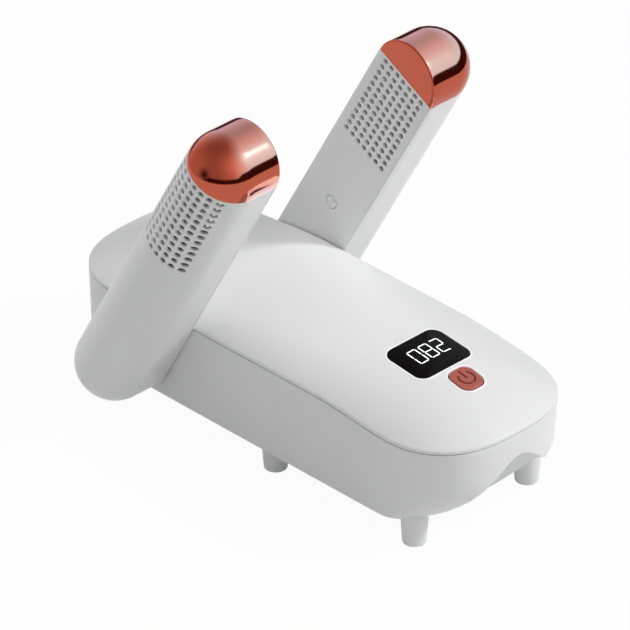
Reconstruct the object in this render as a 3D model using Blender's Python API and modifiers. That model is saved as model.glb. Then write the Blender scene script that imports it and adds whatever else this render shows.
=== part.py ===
"""Folding shoe dryer: a domed base that blows warm air into two perforated arms beside it.

Metres, +Z up. The front of the base, with the scoop under it, faces -Y. The origin is on the
table, under the middle of the base. The arms stand at their drying angle and turn about +X.
"""
import math

import bmesh
import bpy
from mathutils import Matrix, Vector

# Clearances
GAP = 0.0003
ARM_SIDE_GAP = 0.0009

# Base plan: straight sides and superelliptic ends
BASE_LENGTH = 0.292
BASE_WIDTH = 0.1108
END_DEPTH = 0.056
END_POWER = 2.7

# Base heights and walls
FOOT_HEIGHT = 0.0134
RIM_HEIGHT = 0.070
RIM_DROP = 0.005
RIM_FALL_FROM_END = 0.096
RIM_FALL_RUN = 0.070
CROWN = 0.0155
CROWN_POWER = 2.4
LID_SKIRT = 0.0018
WALL = 0.0022
SIDE_DRAFT = 0.0012
BOTTOM_FILLET = 0.0045
FRONT_FILLET = 0.016
FRONT_FILLET_FROM_END = 0.056
FRONT_FILLET_RUN = 0.045

# Scoop under the front edge
SCOOP_HEIGHT = 0.0325
SCOOP_HALF_WIDTH = 0.062
SCOOP_POWER = 1.6
SCOOP_DEPTH = 0.0275
SCOOP_LIP = 0.001

# Feet
FOOT_TOP_RADIUS = 0.0073
FOOT_BOTTOM_RADIUS = 0.0064
FOOT_EDGE = 0.001
FOOT_SPIGOT_RADIUS = 0.0022
FOOT_FROM_SIDE = 0.0134
FRONT_FOOT_FROM_END = 0.0335
MIDDLE_FOOT_FROM_SIDE = 0.0116
MIDDLE_FOOT_FROM_END = 0.1352
REAR_FOOT_FROM_SIDE = 0.0174
REAR_FOOT_FROM_END = 0.038

# Display and button in the lid
DISPLAY_WIDTH = 0.039
DISPLAY_LENGTH = 0.0305
DISPLAY_CORNER = 0.0065
DISPLAY_FROM_END = 0.0655
BUTTON_WIDTH = 0.0165
BUTTON_LENGTH = 0.0175
BUTTON_CORNER = 0.006
BUTTON_SPACING = 0.0275
BUTTON_PROUD = 0.0005
BUTTON_CAP = 0.004
BUTTON_FLANGE_WIDTH = 0.0015
BUTTON_FLANGE_THICKNESS = 0.0013
BUTTON_STEM_RADIUS = 0.0022
BUTTON_TRAVEL = 0.0012

# Boards under the lid
BOARD_THICKNESS = 0.0016
BOARD_BELOW_LID = 0.0195
BOARD_WIDTH = 0.064
BOARD_LENGTH = 0.062
BOARD_POST_RADIUS = 0.003
BOARD_POST_INSET = 0.006
SWITCH_SIZE = 0.006
SWITCH_HEIGHT = 0.0065

# Arms: a stadium face, straight walls, then a full half-round side
ARM_RADIUS = 0.0217
ARM_STRAIGHT_WALL = 0.018
ARM_REACH = 0.1775
ARM_WALL = 0.0018
FACE_THICKNESS = 0.002
CAP_WALL = 0.0016
ARM_LEAN = math.radians(61)
PIVOT_FROM_REAR = 0.066
PIVOT_HEIGHT = 0.0395

# Perforation, drilled straight through both sides of an arm
HOLE_PITCH = 0.005
HOLE_RADIUS = 0.0017
HOLE_SIDES = 4
HOLE_EDGE_MARGIN = 0.0055
FIRST_ROW_BELOW_CAP = 0.0033
PERFORATED_LENGTH = 0.060

# Screw that holds each arm together, under a plug
PLUG_FROM_PIVOT = 0.064
PLUG_RADIUS = 0.0037
PLUG_THICKNESS = 0.0012
PLUG_SUNK = 0.0004
CUP_WALL = 0.0014
CUP_DEPTH = 0.0058
CUP_FLOOR = 0.0015
SCREW_HEAD_RADIUS = 0.0028
SCREW_HEAD_HEIGHT = 0.0018
SCREW_RADIUS = 0.00125
SCREW_LENGTH = 0.010
BOSS_RADIUS = 0.0036

# Hollow hubs that carry the air and the arms
HUB_RADIUS = 0.015
HUB_WALL = 0.0025
HUB_NECK_STEP = 0.0012
HUB_FLANGE_WIDTH = 0.003
HUB_FLANGE_THICKNESS = 0.0018
BUSH_WALL = 0.0019
BUSH_FLANGE_WIDTH = 0.0025
BUSH_FLANGE_THICKNESS = 0.0018
CLIP_WIDTH = 0.004
CLIP_THICKNESS = 0.0018

# Air path inside the base
DUCT_WALL = 0.0016
MANIFOLD_LENGTH = 0.040
MANIFOLD_SIDE_GAP = 0.0006
BLOWER_SHARE = 0.35
BLOWER_RADIUS = 0.042
BLOWER_HEIGHT = 0.034
OUTLET_WIDTH = 0.060
OUTLET_BEYOND_RIM = 0.008
INLET_RADIUS = 0.026
GRILLE_RADIUS = 0.030
GRILLE_LIP = 0.002
GRILLE_LIP_THICKNESS = 0.0012
GRILLE_SLOT_WIDTH = 0.0035
GRILLE_SLOT_PITCH = 0.0065
IMPELLER_RADIUS = 0.034
IMPELLER_PLATE = 0.0016
IMPELLER_HEIGHT = 0.024
BLADE_LENGTH = 0.009
BLADE_THICKNESS = 0.0014
BLADE_COUNT = 14
MOTOR_RADIUS = 0.0122
MOTOR_DROP = 0.004
MOTOR_RISE = 0.009
MOTOR_FLANGE_WIDTH = 0.004
MOTOR_FLANGE_THICKNESS = 0.0015
SHAFT_RADIUS = 0.0015
FIN_THICKNESS = 0.0014
FIN_PITCH = 0.0055
HEATER_PLATE = 0.003
CUTOUT_RADIUS = 0.007
CUTOUT_HEIGHT = 0.005

# Mains inlet and power board at the rear
INLET_BLOCK_WIDTH = 0.026
INLET_BLOCK_HEIGHT = 0.018
INLET_BLOCK_DEPTH = 0.022
INLET_BLOCK_Z = 0.036
INLET_SUNK = 0.0008
SOCKET_RADIUS = 0.0042
SOCKET_SPREAD = 0.0043
SOCKET_DEPTH = 0.012
PIN_RADIUS = 0.0012
POWER_BOARD_WIDTH = 0.030
POWER_BOARD_LENGTH = 0.015
POWER_BOARD_RISE = 0.006

# Screws that hold the lid, up through cups in the floor
FRONT_SCREW_FROM_SIDE = 0.0124
FRONT_SCREW_FROM_END = 0.071
REAR_SCREW_BESIDE_INLET = 0.009
REAR_SCREW_FROM_END = 0.018
LID_SCREW_LENGTH = 0.014

# Facets
SIDE_STEPS = 6
END_STEPS = 16
FILLET_STEPS = 4
SCOOP_STEPS = 20
SCOOP_CURVE_STEPS = 6
ARC_STEPS = 12
ROUND_STEPS = 24
FACET_SIZE = 0.001
DOME_STEPS = (1.0, 0.94, 0.84, 0.7, 0.52, 0.32, 0.12, 0.0)

# Derived places
HALF_LENGTH = BASE_LENGTH / 2
HALF_WIDTH = BASE_WIDTH / 2
STRAIGHT = HALF_LENGTH - END_DEPTH
FLOOR_TOP = FOOT_HEIGHT + WALL
FACE_X = HALF_WIDTH + ARM_SIDE_GAP
PIVOT_Y = HALF_LENGTH - PIVOT_FROM_REAR
DISPLAY_Y = -HALF_LENGTH + DISPLAY_FROM_END
BUTTON_Y = DISPLAY_Y - BUTTON_SPACING
BLOWER_Y = PIVOT_Y - BLOWER_SHARE * BASE_LENGTH


def clear_scene():
    for item in list(bpy.data.objects):
        bpy.data.objects.remove(item, do_unlink=True)


clear_scene()
PARTS = bpy.data.collections.new("shoe_dryer")
CUTTERS = bpy.data.collections.new("cutters")
bpy.context.scene.collection.children.link(PARTS)
bpy.context.scene.collection.children.link(CUTTERS)


def finish(name, colour, roughness, metallic=0.0):
    made = bpy.data.materials.new(name)
    made.use_nodes = True
    shader = made.node_tree.nodes["Principled BSDF"]
    shader.inputs["Base Color"].default_value = (*colour, 1.0)
    shader.inputs["Roughness"].default_value = roughness
    shader.inputs["Metallic"].default_value = metallic
    return made


WHITE = finish("white_plastic", (0.80, 0.80, 0.80), 0.45)
COPPER = finish("copper_plating", (0.72, 0.30, 0.20), 0.12, 1.0)
ROSE = finish("rose_plastic", (0.48, 0.13, 0.10), 0.4)
BLACK_GLASS = finish("black_window", (0.01, 0.01, 0.01), 0.1)
BLACK = finish("black_plastic", (0.03, 0.03, 0.03), 0.5)
GREY = finish("grey_nylon", (0.45, 0.45, 0.46), 0.5)
BOARD = finish("board_green", (0.03, 0.16, 0.07), 0.45)
STEEL = finish("steel", (0.6, 0.6, 0.62), 0.3, 1.0)
ALUMINIUM = finish("aluminium", (0.75, 0.75, 0.77), 0.35, 1.0)
MICA = finish("heater_resin", (0.30, 0.22, 0.13), 0.6)


def part(name, mesh, look, parent=None):
    made = bpy.data.objects.new(name, mesh)
    PARTS.objects.link(made)
    mesh.materials.append(look)
    made.parent = parent
    return made


def cutter(name, mesh, parent=None):
    made = bpy.data.objects.new(name, mesh)
    CUTTERS.objects.link(made)
    made.hide_render = True
    made.display_type = "WIRE"
    made.parent = parent
    return made


def boolean(target, tool, operation):
    step = target.modifiers.new(f"{operation.lower()}_{tool.name}", "BOOLEAN")
    step.operation = operation
    step.object = tool


def cut(target, *tools):
    for tool in tools:
        boolean(target, tool, "DIFFERENCE")


def join(target, *tools):
    for tool in tools:
        boolean(target, tool, "UNION")


def mesh_of(name, bm):
    mesh = bpy.data.meshes.new(name)
    bm.to_mesh(mesh)
    bm.free()
    return mesh


def add_box(bm, low, high):
    low, high = Vector(low), Vector(high)
    size = Matrix.Diagonal((*(high - low), 1.0))
    bmesh.ops.create_cube(bm, size=1.0, matrix=Matrix.Translation((low + high) / 2) @ size)


def box(name, low, high):
    bm = bmesh.new()
    add_box(bm, low, high)
    return mesh_of(name, bm)


TURN = {
    "X": Matrix.Rotation(math.pi / 2, 4, "Y"),
    "Y": Matrix.Rotation(-math.pi / 2, 4, "X"),
    "Z": Matrix.Identity(4),
}


def facets(radius):
    """Fewer facets round a small radius."""
    return max(10, min(ROUND_STEPS, 2 * int(radius / FACET_SIZE)))


def add_rod(bm, radius, start, length, axis="Z", sides=None):
    """A cylinder that runs from a start point along one axis."""
    turn = TURN[axis]
    sides = sides or facets(radius)
    middle = Vector(start) + turn @ Vector((0, 0, length / 2))
    bmesh.ops.create_cone(bm, cap_ends=True, segments=sides, radius1=radius, radius2=radius,
                          depth=length, matrix=Matrix.Translation(middle) @ turn)


def rod(name, radius, start, length, axis="Z"):
    bm = bmesh.new()
    add_rod(bm, radius, start, length, axis)
    return mesh_of(name, bm)


def loft(name, rings, start_cap=False, end_cap=False):
    """Bridge rings of equal count; a ring that folds onto a line closes the surface there."""
    bm = bmesh.new()
    loops = [[bm.verts.new(point) for point in ring] for ring in rings]
    for lower, upper in zip(loops, loops[1:]):
        for i in range(len(lower)):
            j = (i + 1) % len(lower)
            bm.faces.new((lower[i], lower[j], upper[j], upper[i]))
    if start_cap:
        bm.faces.new(list(reversed(loops[0])))
    if end_cap:
        bm.faces.new(loops[-1])
    bmesh.ops.remove_doubles(bm, verts=bm.verts, dist=1e-6)
    bmesh.ops.recalc_face_normals(bm, faces=bm.faces)
    return mesh_of(name, bm)


def turned(name, profile, look, parent=None, closed=False):
    """Turn (radius, height) points about Z; the points run down the outer side."""
    bm = bmesh.new()
    points = [bm.verts.new((radius, 0, height)) for radius, height in profile]
    pairs = list(zip(points, points[1:]))
    if closed:
        pairs.append((points[-1], points[0]))
    for first, second in pairs:
        bm.edges.new((first, second))
    made = part(name, mesh_of(name, bm), look, parent)
    screw = made.modifiers.new("turn", "SCREW")
    screw.steps = facets(max(radius for radius, height in profile))
    screw.render_steps = screw.steps
    screw.use_merge_vertices = True
    screw.merge_threshold = 0.00001
    return made


# The base outline, rim and dome

def outline_points():
    """Shares of the half-width and end depth round the outline, from the front of the right side."""
    points = []
    for side in (1, -1):
        for step in range(SIDE_STEPS):
            points.append((side, side * STRAIGHT * (2 * step / SIDE_STEPS - 1), 0.0))
        for step in range(END_STEPS):
            angle = math.pi * step / END_STEPS
            across = math.copysign(abs(math.cos(angle)) ** (2 / END_POWER), math.cos(angle))
            points.append((side * across, side * STRAIGHT, side * math.sin(angle) ** (2 / END_POWER)))
    return points


OUTLINE = outline_points()


def plan_ring(half_width, end_depth):
    return [(across * half_width, y + along * end_depth) for across, y, along in OUTLINE]


def smooth(share):
    share = min(max(share, 0.0), 1.0)
    return share * share * (3 - 2 * share)


def fillet(y):
    """Radius of the bottom edge, which grows towards the front."""
    start = HALF_LENGTH - FRONT_FILLET_FROM_END
    return BOTTOM_FILLET + (FRONT_FILLET - BOTTOM_FILLET) * smooth((-y - start) / FRONT_FILLET_RUN)


def inset_ring(inset, height):
    """The base outline, drawn in by inset; inset and height are functions of y."""
    ring = []
    for across, start, along in OUTLINE:
        y = start + along * END_DEPTH
        drawn = inset(y)
        ring.append((across * (HALF_WIDTH - drawn), start + along * (END_DEPTH - drawn), height(y)))
    return ring


def steady(value):
    return lambda y: value


def bowl_rings(skin):
    """Rings of the rounded bottom edge, drawn in by a skin, from the floor up."""
    rings = []
    for step in range(FILLET_STEPS + 1):
        angle = math.pi / 2 * step / FILLET_STEPS
        rings.append(inset_ring(
            lambda y: SIDE_DRAFT + skin + (fillet(y) - skin) * (1 - math.sin(angle)),
            lambda y: FOOT_HEIGHT + skin + (fillet(y) - skin) * (1 - math.cos(angle))))
    return rings


def ridge_ring(height):
    return [(x, y, height(y)) for x, y in plan_ring(0, 0)]


def rim(y):
    return RIM_HEIGHT - RIM_DROP * smooth((abs(y) - HALF_LENGTH + RIM_FALL_FROM_END) / RIM_FALL_RUN)


def wall_top(y):
    return rim(y) - LID_SKIRT - GAP


def wall_x(z):
    """Half-width of the outer side wall at a height, with its draft."""
    return HALF_WIDTH - SIDE_DRAFT * (RIM_HEIGHT - z) / (RIM_HEIGHT - FOOT_HEIGHT)


def lid_height(x, y):
    beyond = max(abs(y) - STRAIGHT, 0.0) / END_DEPTH
    share = ((abs(x) / HALF_WIDTH) ** END_POWER + beyond ** END_POWER) ** (1 / END_POWER)
    return rim(y) + CROWN * (1 - share ** CROWN_POWER)


def dome_rings(lift):
    rings = []
    for share in DOME_STEPS:
        rise = CROWN * (1 - share ** CROWN_POWER) + lift
        outline = plan_ring(HALF_WIDTH * share, END_DEPTH * share)
        rings.append([(x, y, rim(y) + rise) for x, y in outline])
    return rings


def thicken(target, thickness):
    shell = target.modifiers.new("thickness", "SOLIDIFY")
    shell.thickness = thickness
    shell.offset = -1.0
    shell.use_even_offset = True


def rounded_prism(name, width, length, corner, y, low, high):
    """An upright block with rounded corners, centred on the base's middle line at y."""
    corner_steps = 5
    outline = []
    for quarter in range(4):
        sx = 1 if quarter in (0, 3) else -1
        sy = 1 if quarter in (0, 1) else -1
        for step in range(corner_steps + 1):
            angle = math.pi / 2 * (quarter + step / corner_steps)
            outline.append((sx * (width / 2 - corner) + corner * math.cos(angle),
                            y + sy * (length / 2 - corner) + corner * math.sin(angle)))
    rings = [[(px, py, z) for px, py in outline] for z in (low, high)]
    return loft(name, rings, start_cap=True, end_cap=True)


# Places of the lid screws, the feet and the board posts

def mirrored_places(x, y):
    return {"right": (x, y), "left": (-x, y)}


LID_SCREWS = {
    "front": mirrored_places(HALF_WIDTH - FRONT_SCREW_FROM_SIDE, -HALF_LENGTH + FRONT_SCREW_FROM_END),
    "rear": mirrored_places(INLET_BLOCK_WIDTH / 2 + REAR_SCREW_BESIDE_INLET,
                            HALF_LENGTH - REAR_SCREW_FROM_END),
}
FEET = {
    "front": mirrored_places(HALF_WIDTH - FOOT_FROM_SIDE, -HALF_LENGTH + FRONT_FOOT_FROM_END),
    "middle": mirrored_places(HALF_WIDTH - MIDDLE_FOOT_FROM_SIDE, -HALF_LENGTH + MIDDLE_FOOT_FROM_END),
    "rear": mirrored_places(HALF_WIDTH - REAR_FOOT_FROM_SIDE, HALF_LENGTH - REAR_FOOT_FROM_END),
}
CUP_RADIUS = SCREW_HEAD_RADIUS + 2 * GAP + CUP_WALL
CUP_TOP = FOOT_HEIGHT + CUP_DEPTH
BOARD_TOP = lid_height(0, DISPLAY_Y) - BOARD_BELOW_LID
BOARD_LOW = BOARD_TOP - BOARD_THICKNESS
BOARD_REAR = DISPLAY_Y + DISPLAY_LENGTH / 2 + BOARD_POST_INSET
BOARD_FRONT = BOARD_REAR - BOARD_LENGTH
BOARD_POSTS = [(side * (BOARD_WIDTH / 2 - BOARD_POST_INSET), y)
               for side in (1, -1)
               for y in (BOARD_FRONT + BOARD_POST_INSET, DISPLAY_Y)]
POWER_BOARD_Y = HALF_LENGTH - INLET_SUNK - INLET_BLOCK_DEPTH - POWER_BOARD_LENGTH / 2 - 2 * GAP
HUB_HOLE_RADIUS = HUB_RADIUS + GAP + BUSH_WALL + GAP


def scoop(name, grow):
    """The hollow under the front edge: a bell-shaped mouth whose roof curves down to the floor."""
    rings = []
    back = -HALF_LENGTH + SCOOP_DEPTH + grow
    for step in range(SCOOP_STEPS + 1):
        x = SCOOP_HALF_WIDTH * (2 * step / SCOOP_STEPS - 1)
        bell = math.cos(math.pi / 2 * x / SCOOP_HALF_WIDTH) ** SCOOP_POWER
        low = FOOT_HEIGHT - SCOOP_LIP
        top = low + grow + (SCOOP_HEIGHT + SCOOP_LIP) * bell
        side = min(abs(x) / HALF_WIDTH, 1.0)
        front = -STRAIGHT - END_DEPTH * (1 - side ** END_POWER) ** (1 / END_POWER)
        front = min(front, back - 2 * GAP)
        ring = [(x, -HALF_LENGTH - END_DEPTH, low - FOOT_HEIGHT), (x, -HALF_LENGTH - END_DEPTH, top)]
        for turn in range(SCOOP_CURVE_STEPS + 1):
            angle = math.pi / 2 * turn / SCOOP_CURVE_STEPS
            ring.append((x, front + (back - front) * math.sin(angle),
                         low + (top - low) * math.cos(angle)))
        ring.append((x, back, low - FOOT_HEIGHT))
        rings.append(ring)
    return loft(name, rings, start_cap=True, end_cap=True)


def make_housing():
    """The lower shell: floor, drafted walls, scoop, posts and the holes that pieces pass through."""
    rings = bowl_rings(0.0)
    rings.append(inset_ring(steady(0.0), wall_top))
    rings.append(ridge_ring(wall_top))
    housing = part("base_housing", loft("base_housing", rings, start_cap=True), WHITE)

    def above_rim(y):
        return rim(y) + CROWN

    hollow_rings = bowl_rings(WALL)
    hollow_rings += [inset_ring(steady(WALL), wall_top), inset_ring(steady(WALL), above_rim),
                     ridge_ring(above_rim)]
    hollow = cutter("housing_hollow", loft("housing_hollow", hollow_rings, start_cap=True))
    cut(hollow, cutter("scoop_wall", scoop("scoop_wall", WALL)))
    cut(housing, cutter("scoop_cut", scoop("scoop_cut", 0.0)), hollow)

    rooted = FLOOR_TOP - WALL / 2
    raised = bmesh.new()
    drilled = bmesh.new()
    shanks = bmesh.new()
    for x, y in BOARD_POSTS:
        add_rod(raised, BOARD_POST_RADIUS, (x, y, rooted), BOARD_LOW - GAP - rooted)
    for side in (1, -1):
        post_x = side * (POWER_BOARD_WIDTH / 2 - BOARD_POST_RADIUS)
        add_rod(raised, BOARD_POST_RADIUS, (post_x, POWER_BOARD_Y, rooted),
                FLOOR_TOP + POWER_BOARD_RISE - GAP - rooted)
    for row in LID_SCREWS.values():
        for x, y in row.values():
            add_rod(raised, CUP_RADIUS, (x, y, rooted), CUP_TOP - rooted)
            add_rod(drilled, CUP_RADIUS - CUP_WALL, (x, y, 0), CUP_TOP - CUP_FLOOR)
            add_rod(shanks, SCREW_RADIUS + GAP, (x, y, CUP_TOP - 2 * CUP_FLOOR), 3 * CUP_FLOOR)
    for row in FEET.values():
        for x, y in row.values():
            add_rod(raised, FOOT_TOP_RADIUS, (x, y, FOOT_HEIGHT), WALL / 2 + fillet(y) - BOTTOM_FILLET)
            add_rod(drilled, FOOT_SPIGOT_RADIUS + GAP, (x, y, 0), FLOOR_TOP + GAP)
    add_rod(drilled, GRILLE_RADIUS, (0, BLOWER_Y, 0), FLOOR_TOP + WALL)
    add_rod(drilled, HUB_HOLE_RADIUS, (-FACE_X, PIVOT_Y, PIVOT_HEIGHT), 2 * FACE_X, "X")
    join(housing, cutter("housing_posts", mesh_of("housing_posts", raised)))
    cut(housing, cutter("housing_holes", mesh_of("housing_holes", drilled)),
        cutter("shank_holes", mesh_of("shank_holes", shanks)))
    slot_low = (-INLET_BLOCK_WIDTH / 2 - GAP, HALF_LENGTH - END_DEPTH / 2,
                INLET_BLOCK_Z - INLET_BLOCK_HEIGHT / 2 - GAP)
    slot_high = (INLET_BLOCK_WIDTH / 2 + GAP, HALF_LENGTH + END_DEPTH,
                 INLET_BLOCK_Z + INLET_BLOCK_HEIGHT / 2 + GAP)
    cut(housing, cutter("inlet_hole", box("inlet_hole", slot_low, slot_high)))


def make_lid():
    """The domed cover with its skirt, screw bosses, display window and button opening."""
    skirt = inset_ring(steady(0.0), lambda y: rim(y) - LID_SKIRT)
    lid = part("top_cover", loft("top_cover", [skirt] + dome_rings(0.0)), WHITE)
    thicken(lid, WALL)
    bosses = bmesh.new()
    pilots = bmesh.new()
    for row in LID_SCREWS.values():
        for x, y in row.values():
            low = CUP_TOP + GAP
            high = lid_height(x, y) - 0.85 * WALL
            add_rod(bosses, BOSS_RADIUS, (x, y, low), high - low)
            add_rod(pilots, SCREW_RADIUS + GAP, (x, y, low - GAP), LID_SCREW_LENGTH)
    join(lid, cutter("lid_bosses", mesh_of("lid_bosses", bosses)))
    cut(lid, cutter("lid_pilots", mesh_of("lid_pilots", pilots)))
    ceiling = RIM_HEIGHT + 2 * CROWN
    window = rounded_prism("window_hole", DISPLAY_WIDTH, DISPLAY_LENGTH, DISPLAY_CORNER,
                           DISPLAY_Y, BOARD_TOP, ceiling)
    key = rounded_prism("button_hole", BUTTON_WIDTH, BUTTON_LENGTH, BUTTON_CORNER,
                        BUTTON_Y, BOARD_TOP, ceiling)
    cut(lid, cutter("window_hole", window), cutter("button_hole", key))


def dome_piece(mesh_name, made, tool, lift, thickness):
    """Keep the piece of the dome that lies inside a tool's outline."""
    piece = made(mesh_name, loft(mesh_name, dome_rings(lift)))
    thicken(piece, thickness)
    boolean(piece, tool, "INTERSECT")
    return piece


def make_display():
    ceiling = RIM_HEIGHT + 2 * CROWN
    glass = cutter("window_outline", rounded_prism(
        "window_outline", DISPLAY_WIDTH - 2 * GAP, DISPLAY_LENGTH - 2 * GAP, DISPLAY_CORNER - GAP,
        DISPLAY_Y, BOARD_TOP, ceiling))
    dome_piece("display_window", lambda name, mesh: part(name, mesh, BLACK_GLASS), glass, 0.0, WALL)
    corner_height = lid_height(DISPLAY_WIDTH / 2, DISPLAY_Y - DISPLAY_LENGTH / 2)
    module_top = corner_height - WALL - 2 * GAP
    inner_x = DISPLAY_WIDTH / 2 - 2 * WALL
    inner_y = DISPLAY_LENGTH / 2 - WALL
    part("display_module", box("display_module", (-inner_x, DISPLAY_Y - inner_y, BOARD_TOP + GAP),
                               (inner_x, DISPLAY_Y + inner_y, module_top)), BLACK)
    board = part("control_board", box("control_board", (-BOARD_WIDTH / 2, BOARD_FRONT, BOARD_LOW),
                                      (BOARD_WIDTH / 2, BOARD_REAR, BOARD_TOP)), BOARD)
    return board


def make_button():
    """A key cap that follows the dome, with a flange under the lid and a stem to its switch."""
    ceiling = RIM_HEIGHT + 2 * CROWN
    carrier = bpy.data.objects.new("button_axis", None)
    PARTS.objects.link(carrier)
    outline = cutter("button_outline", rounded_prism(
        "button_outline", BUTTON_WIDTH - 2 * GAP, BUTTON_LENGTH - 2 * GAP, BUTTON_CORNER - GAP,
        BUTTON_Y, BOARD_TOP, ceiling))
    button = dome_piece("power_button", lambda name, mesh: part(name, mesh, ROSE, carrier), outline,
                        BUTTON_PROUD, BUTTON_CAP)
    flange_outline = cutter("flange_outline", rounded_prism(
        "flange_outline", BUTTON_WIDTH + 2 * BUTTON_FLANGE_WIDTH,
        BUTTON_LENGTH + 2 * BUTTON_FLANGE_WIDTH, BUTTON_CORNER + BUTTON_FLANGE_WIDTH,
        BUTTON_Y, BOARD_TOP, ceiling))
    steepest = 1.1
    flange = dome_piece("button_flange", cutter, flange_outline,
                        -(WALL + GAP) * steepest, BUTTON_FLANGE_THICKNESS)
    switch_top = BOARD_TOP + GAP + SWITCH_HEIGHT
    stem_low = switch_top + BUTTON_TRAVEL + GAP
    stem_high = lid_height(0, BUTTON_Y) - BUTTON_CAP / 2
    stem = cutter("button_stem", rod("button_stem", BUTTON_STEM_RADIUS, (0, BUTTON_Y, stem_low),
                                     stem_high - stem_low))
    join(button, flange, stem)
    half = SWITCH_SIZE / 2
    part("tact_switch", box("tact_switch", (-half, BUTTON_Y - half, BOARD_TOP + GAP),
                            (half, BUTTON_Y + half, switch_top)), BLACK)


def make_feet():
    top = FOOT_HEIGHT - GAP
    profile = [(0, FLOOR_TOP), (FOOT_SPIGOT_RADIUS, FLOOR_TOP), (FOOT_SPIGOT_RADIUS, top),
               (FOOT_TOP_RADIUS, top), (FOOT_BOTTOM_RADIUS, FOOT_EDGE),
               (FOOT_BOTTOM_RADIUS - FOOT_EDGE, 0), (0, 0)]
    for place, row in FEET.items():
        for side, (x, y) in row.items():
            foot = turned(f"foot_{place}_{side}", profile, WHITE)
            foot.location = (x, y, 0)


def screw_profile(length):
    """A pan head below a shank; zero height is under the head."""
    return [(0, length), (SCREW_RADIUS, length), (SCREW_RADIUS, 0), (SCREW_HEAD_RADIUS, 0),
            (SCREW_HEAD_RADIUS, -SCREW_HEAD_HEIGHT), (0, -SCREW_HEAD_HEIGHT)]


def make_lid_screws():
    for place, row in LID_SCREWS.items():
        for side, (x, y) in row.items():
            screw = turned(f"lid_screw_{place}_{side}", screw_profile(LID_SCREW_LENGTH - 2 * GAP), STEEL)
            screw.location = (x, y, CUP_TOP - CUP_FLOOR - GAP)


# The blower, heater and manifold

BLOWER_LOW = FLOOR_TOP + GAP + GRILLE_LIP_THICKNESS + GAP
SCROLL_LOW = BLOWER_LOW + DUCT_WALL + GAP
SCROLL_TOP = SCROLL_LOW + BLOWER_HEIGHT
OUTLET_END = BLOWER_Y + BLOWER_RADIUS + OUTLET_BEYOND_RIM
MANIFOLD_FRONT = PIVOT_Y - MANIFOLD_LENGTH / 2
PLATE_TOP = SCROLL_TOP - DUCT_WALL - MOTOR_DROP - 2 * GAP
IMPELLER_LOW = PLATE_TOP - IMPELLER_HEIGHT


def make_grille():
    """A slotted disc that clips into the floor under the blower."""
    profile = [(0, FLOOR_TOP + GAP + GRILLE_LIP_THICKNESS),
               (GRILLE_RADIUS + GRILLE_LIP, FLOOR_TOP + GAP + GRILLE_LIP_THICKNESS),
               (GRILLE_RADIUS + GRILLE_LIP, FLOOR_TOP + GAP), (GRILLE_RADIUS - GAP, FLOOR_TOP + GAP),
               (GRILLE_RADIUS - GAP, FOOT_HEIGHT), (0, FOOT_HEIGHT)]
    grille = turned("intake_grille", profile, WHITE)
    grille.location = (0, BLOWER_Y, 0)
    slots = bmesh.new()
    reach = INLET_RADIUS - GRILLE_SLOT_WIDTH / 2
    count = int(reach / GRILLE_SLOT_PITCH)
    for step in range(-count, count + 1):
        y = step * GRILLE_SLOT_PITCH
        half = math.sqrt(INLET_RADIUS ** 2 - (abs(y) + GRILLE_SLOT_WIDTH / 2) ** 2)
        add_box(slots, (-half, BLOWER_Y + y - GRILLE_SLOT_WIDTH / 2, 0),
                (half, BLOWER_Y + y + GRILLE_SLOT_WIDTH / 2, 2 * FLOOR_TOP))
    cut(grille, cutter("grille_slots", mesh_of("grille_slots", slots)))


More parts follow.
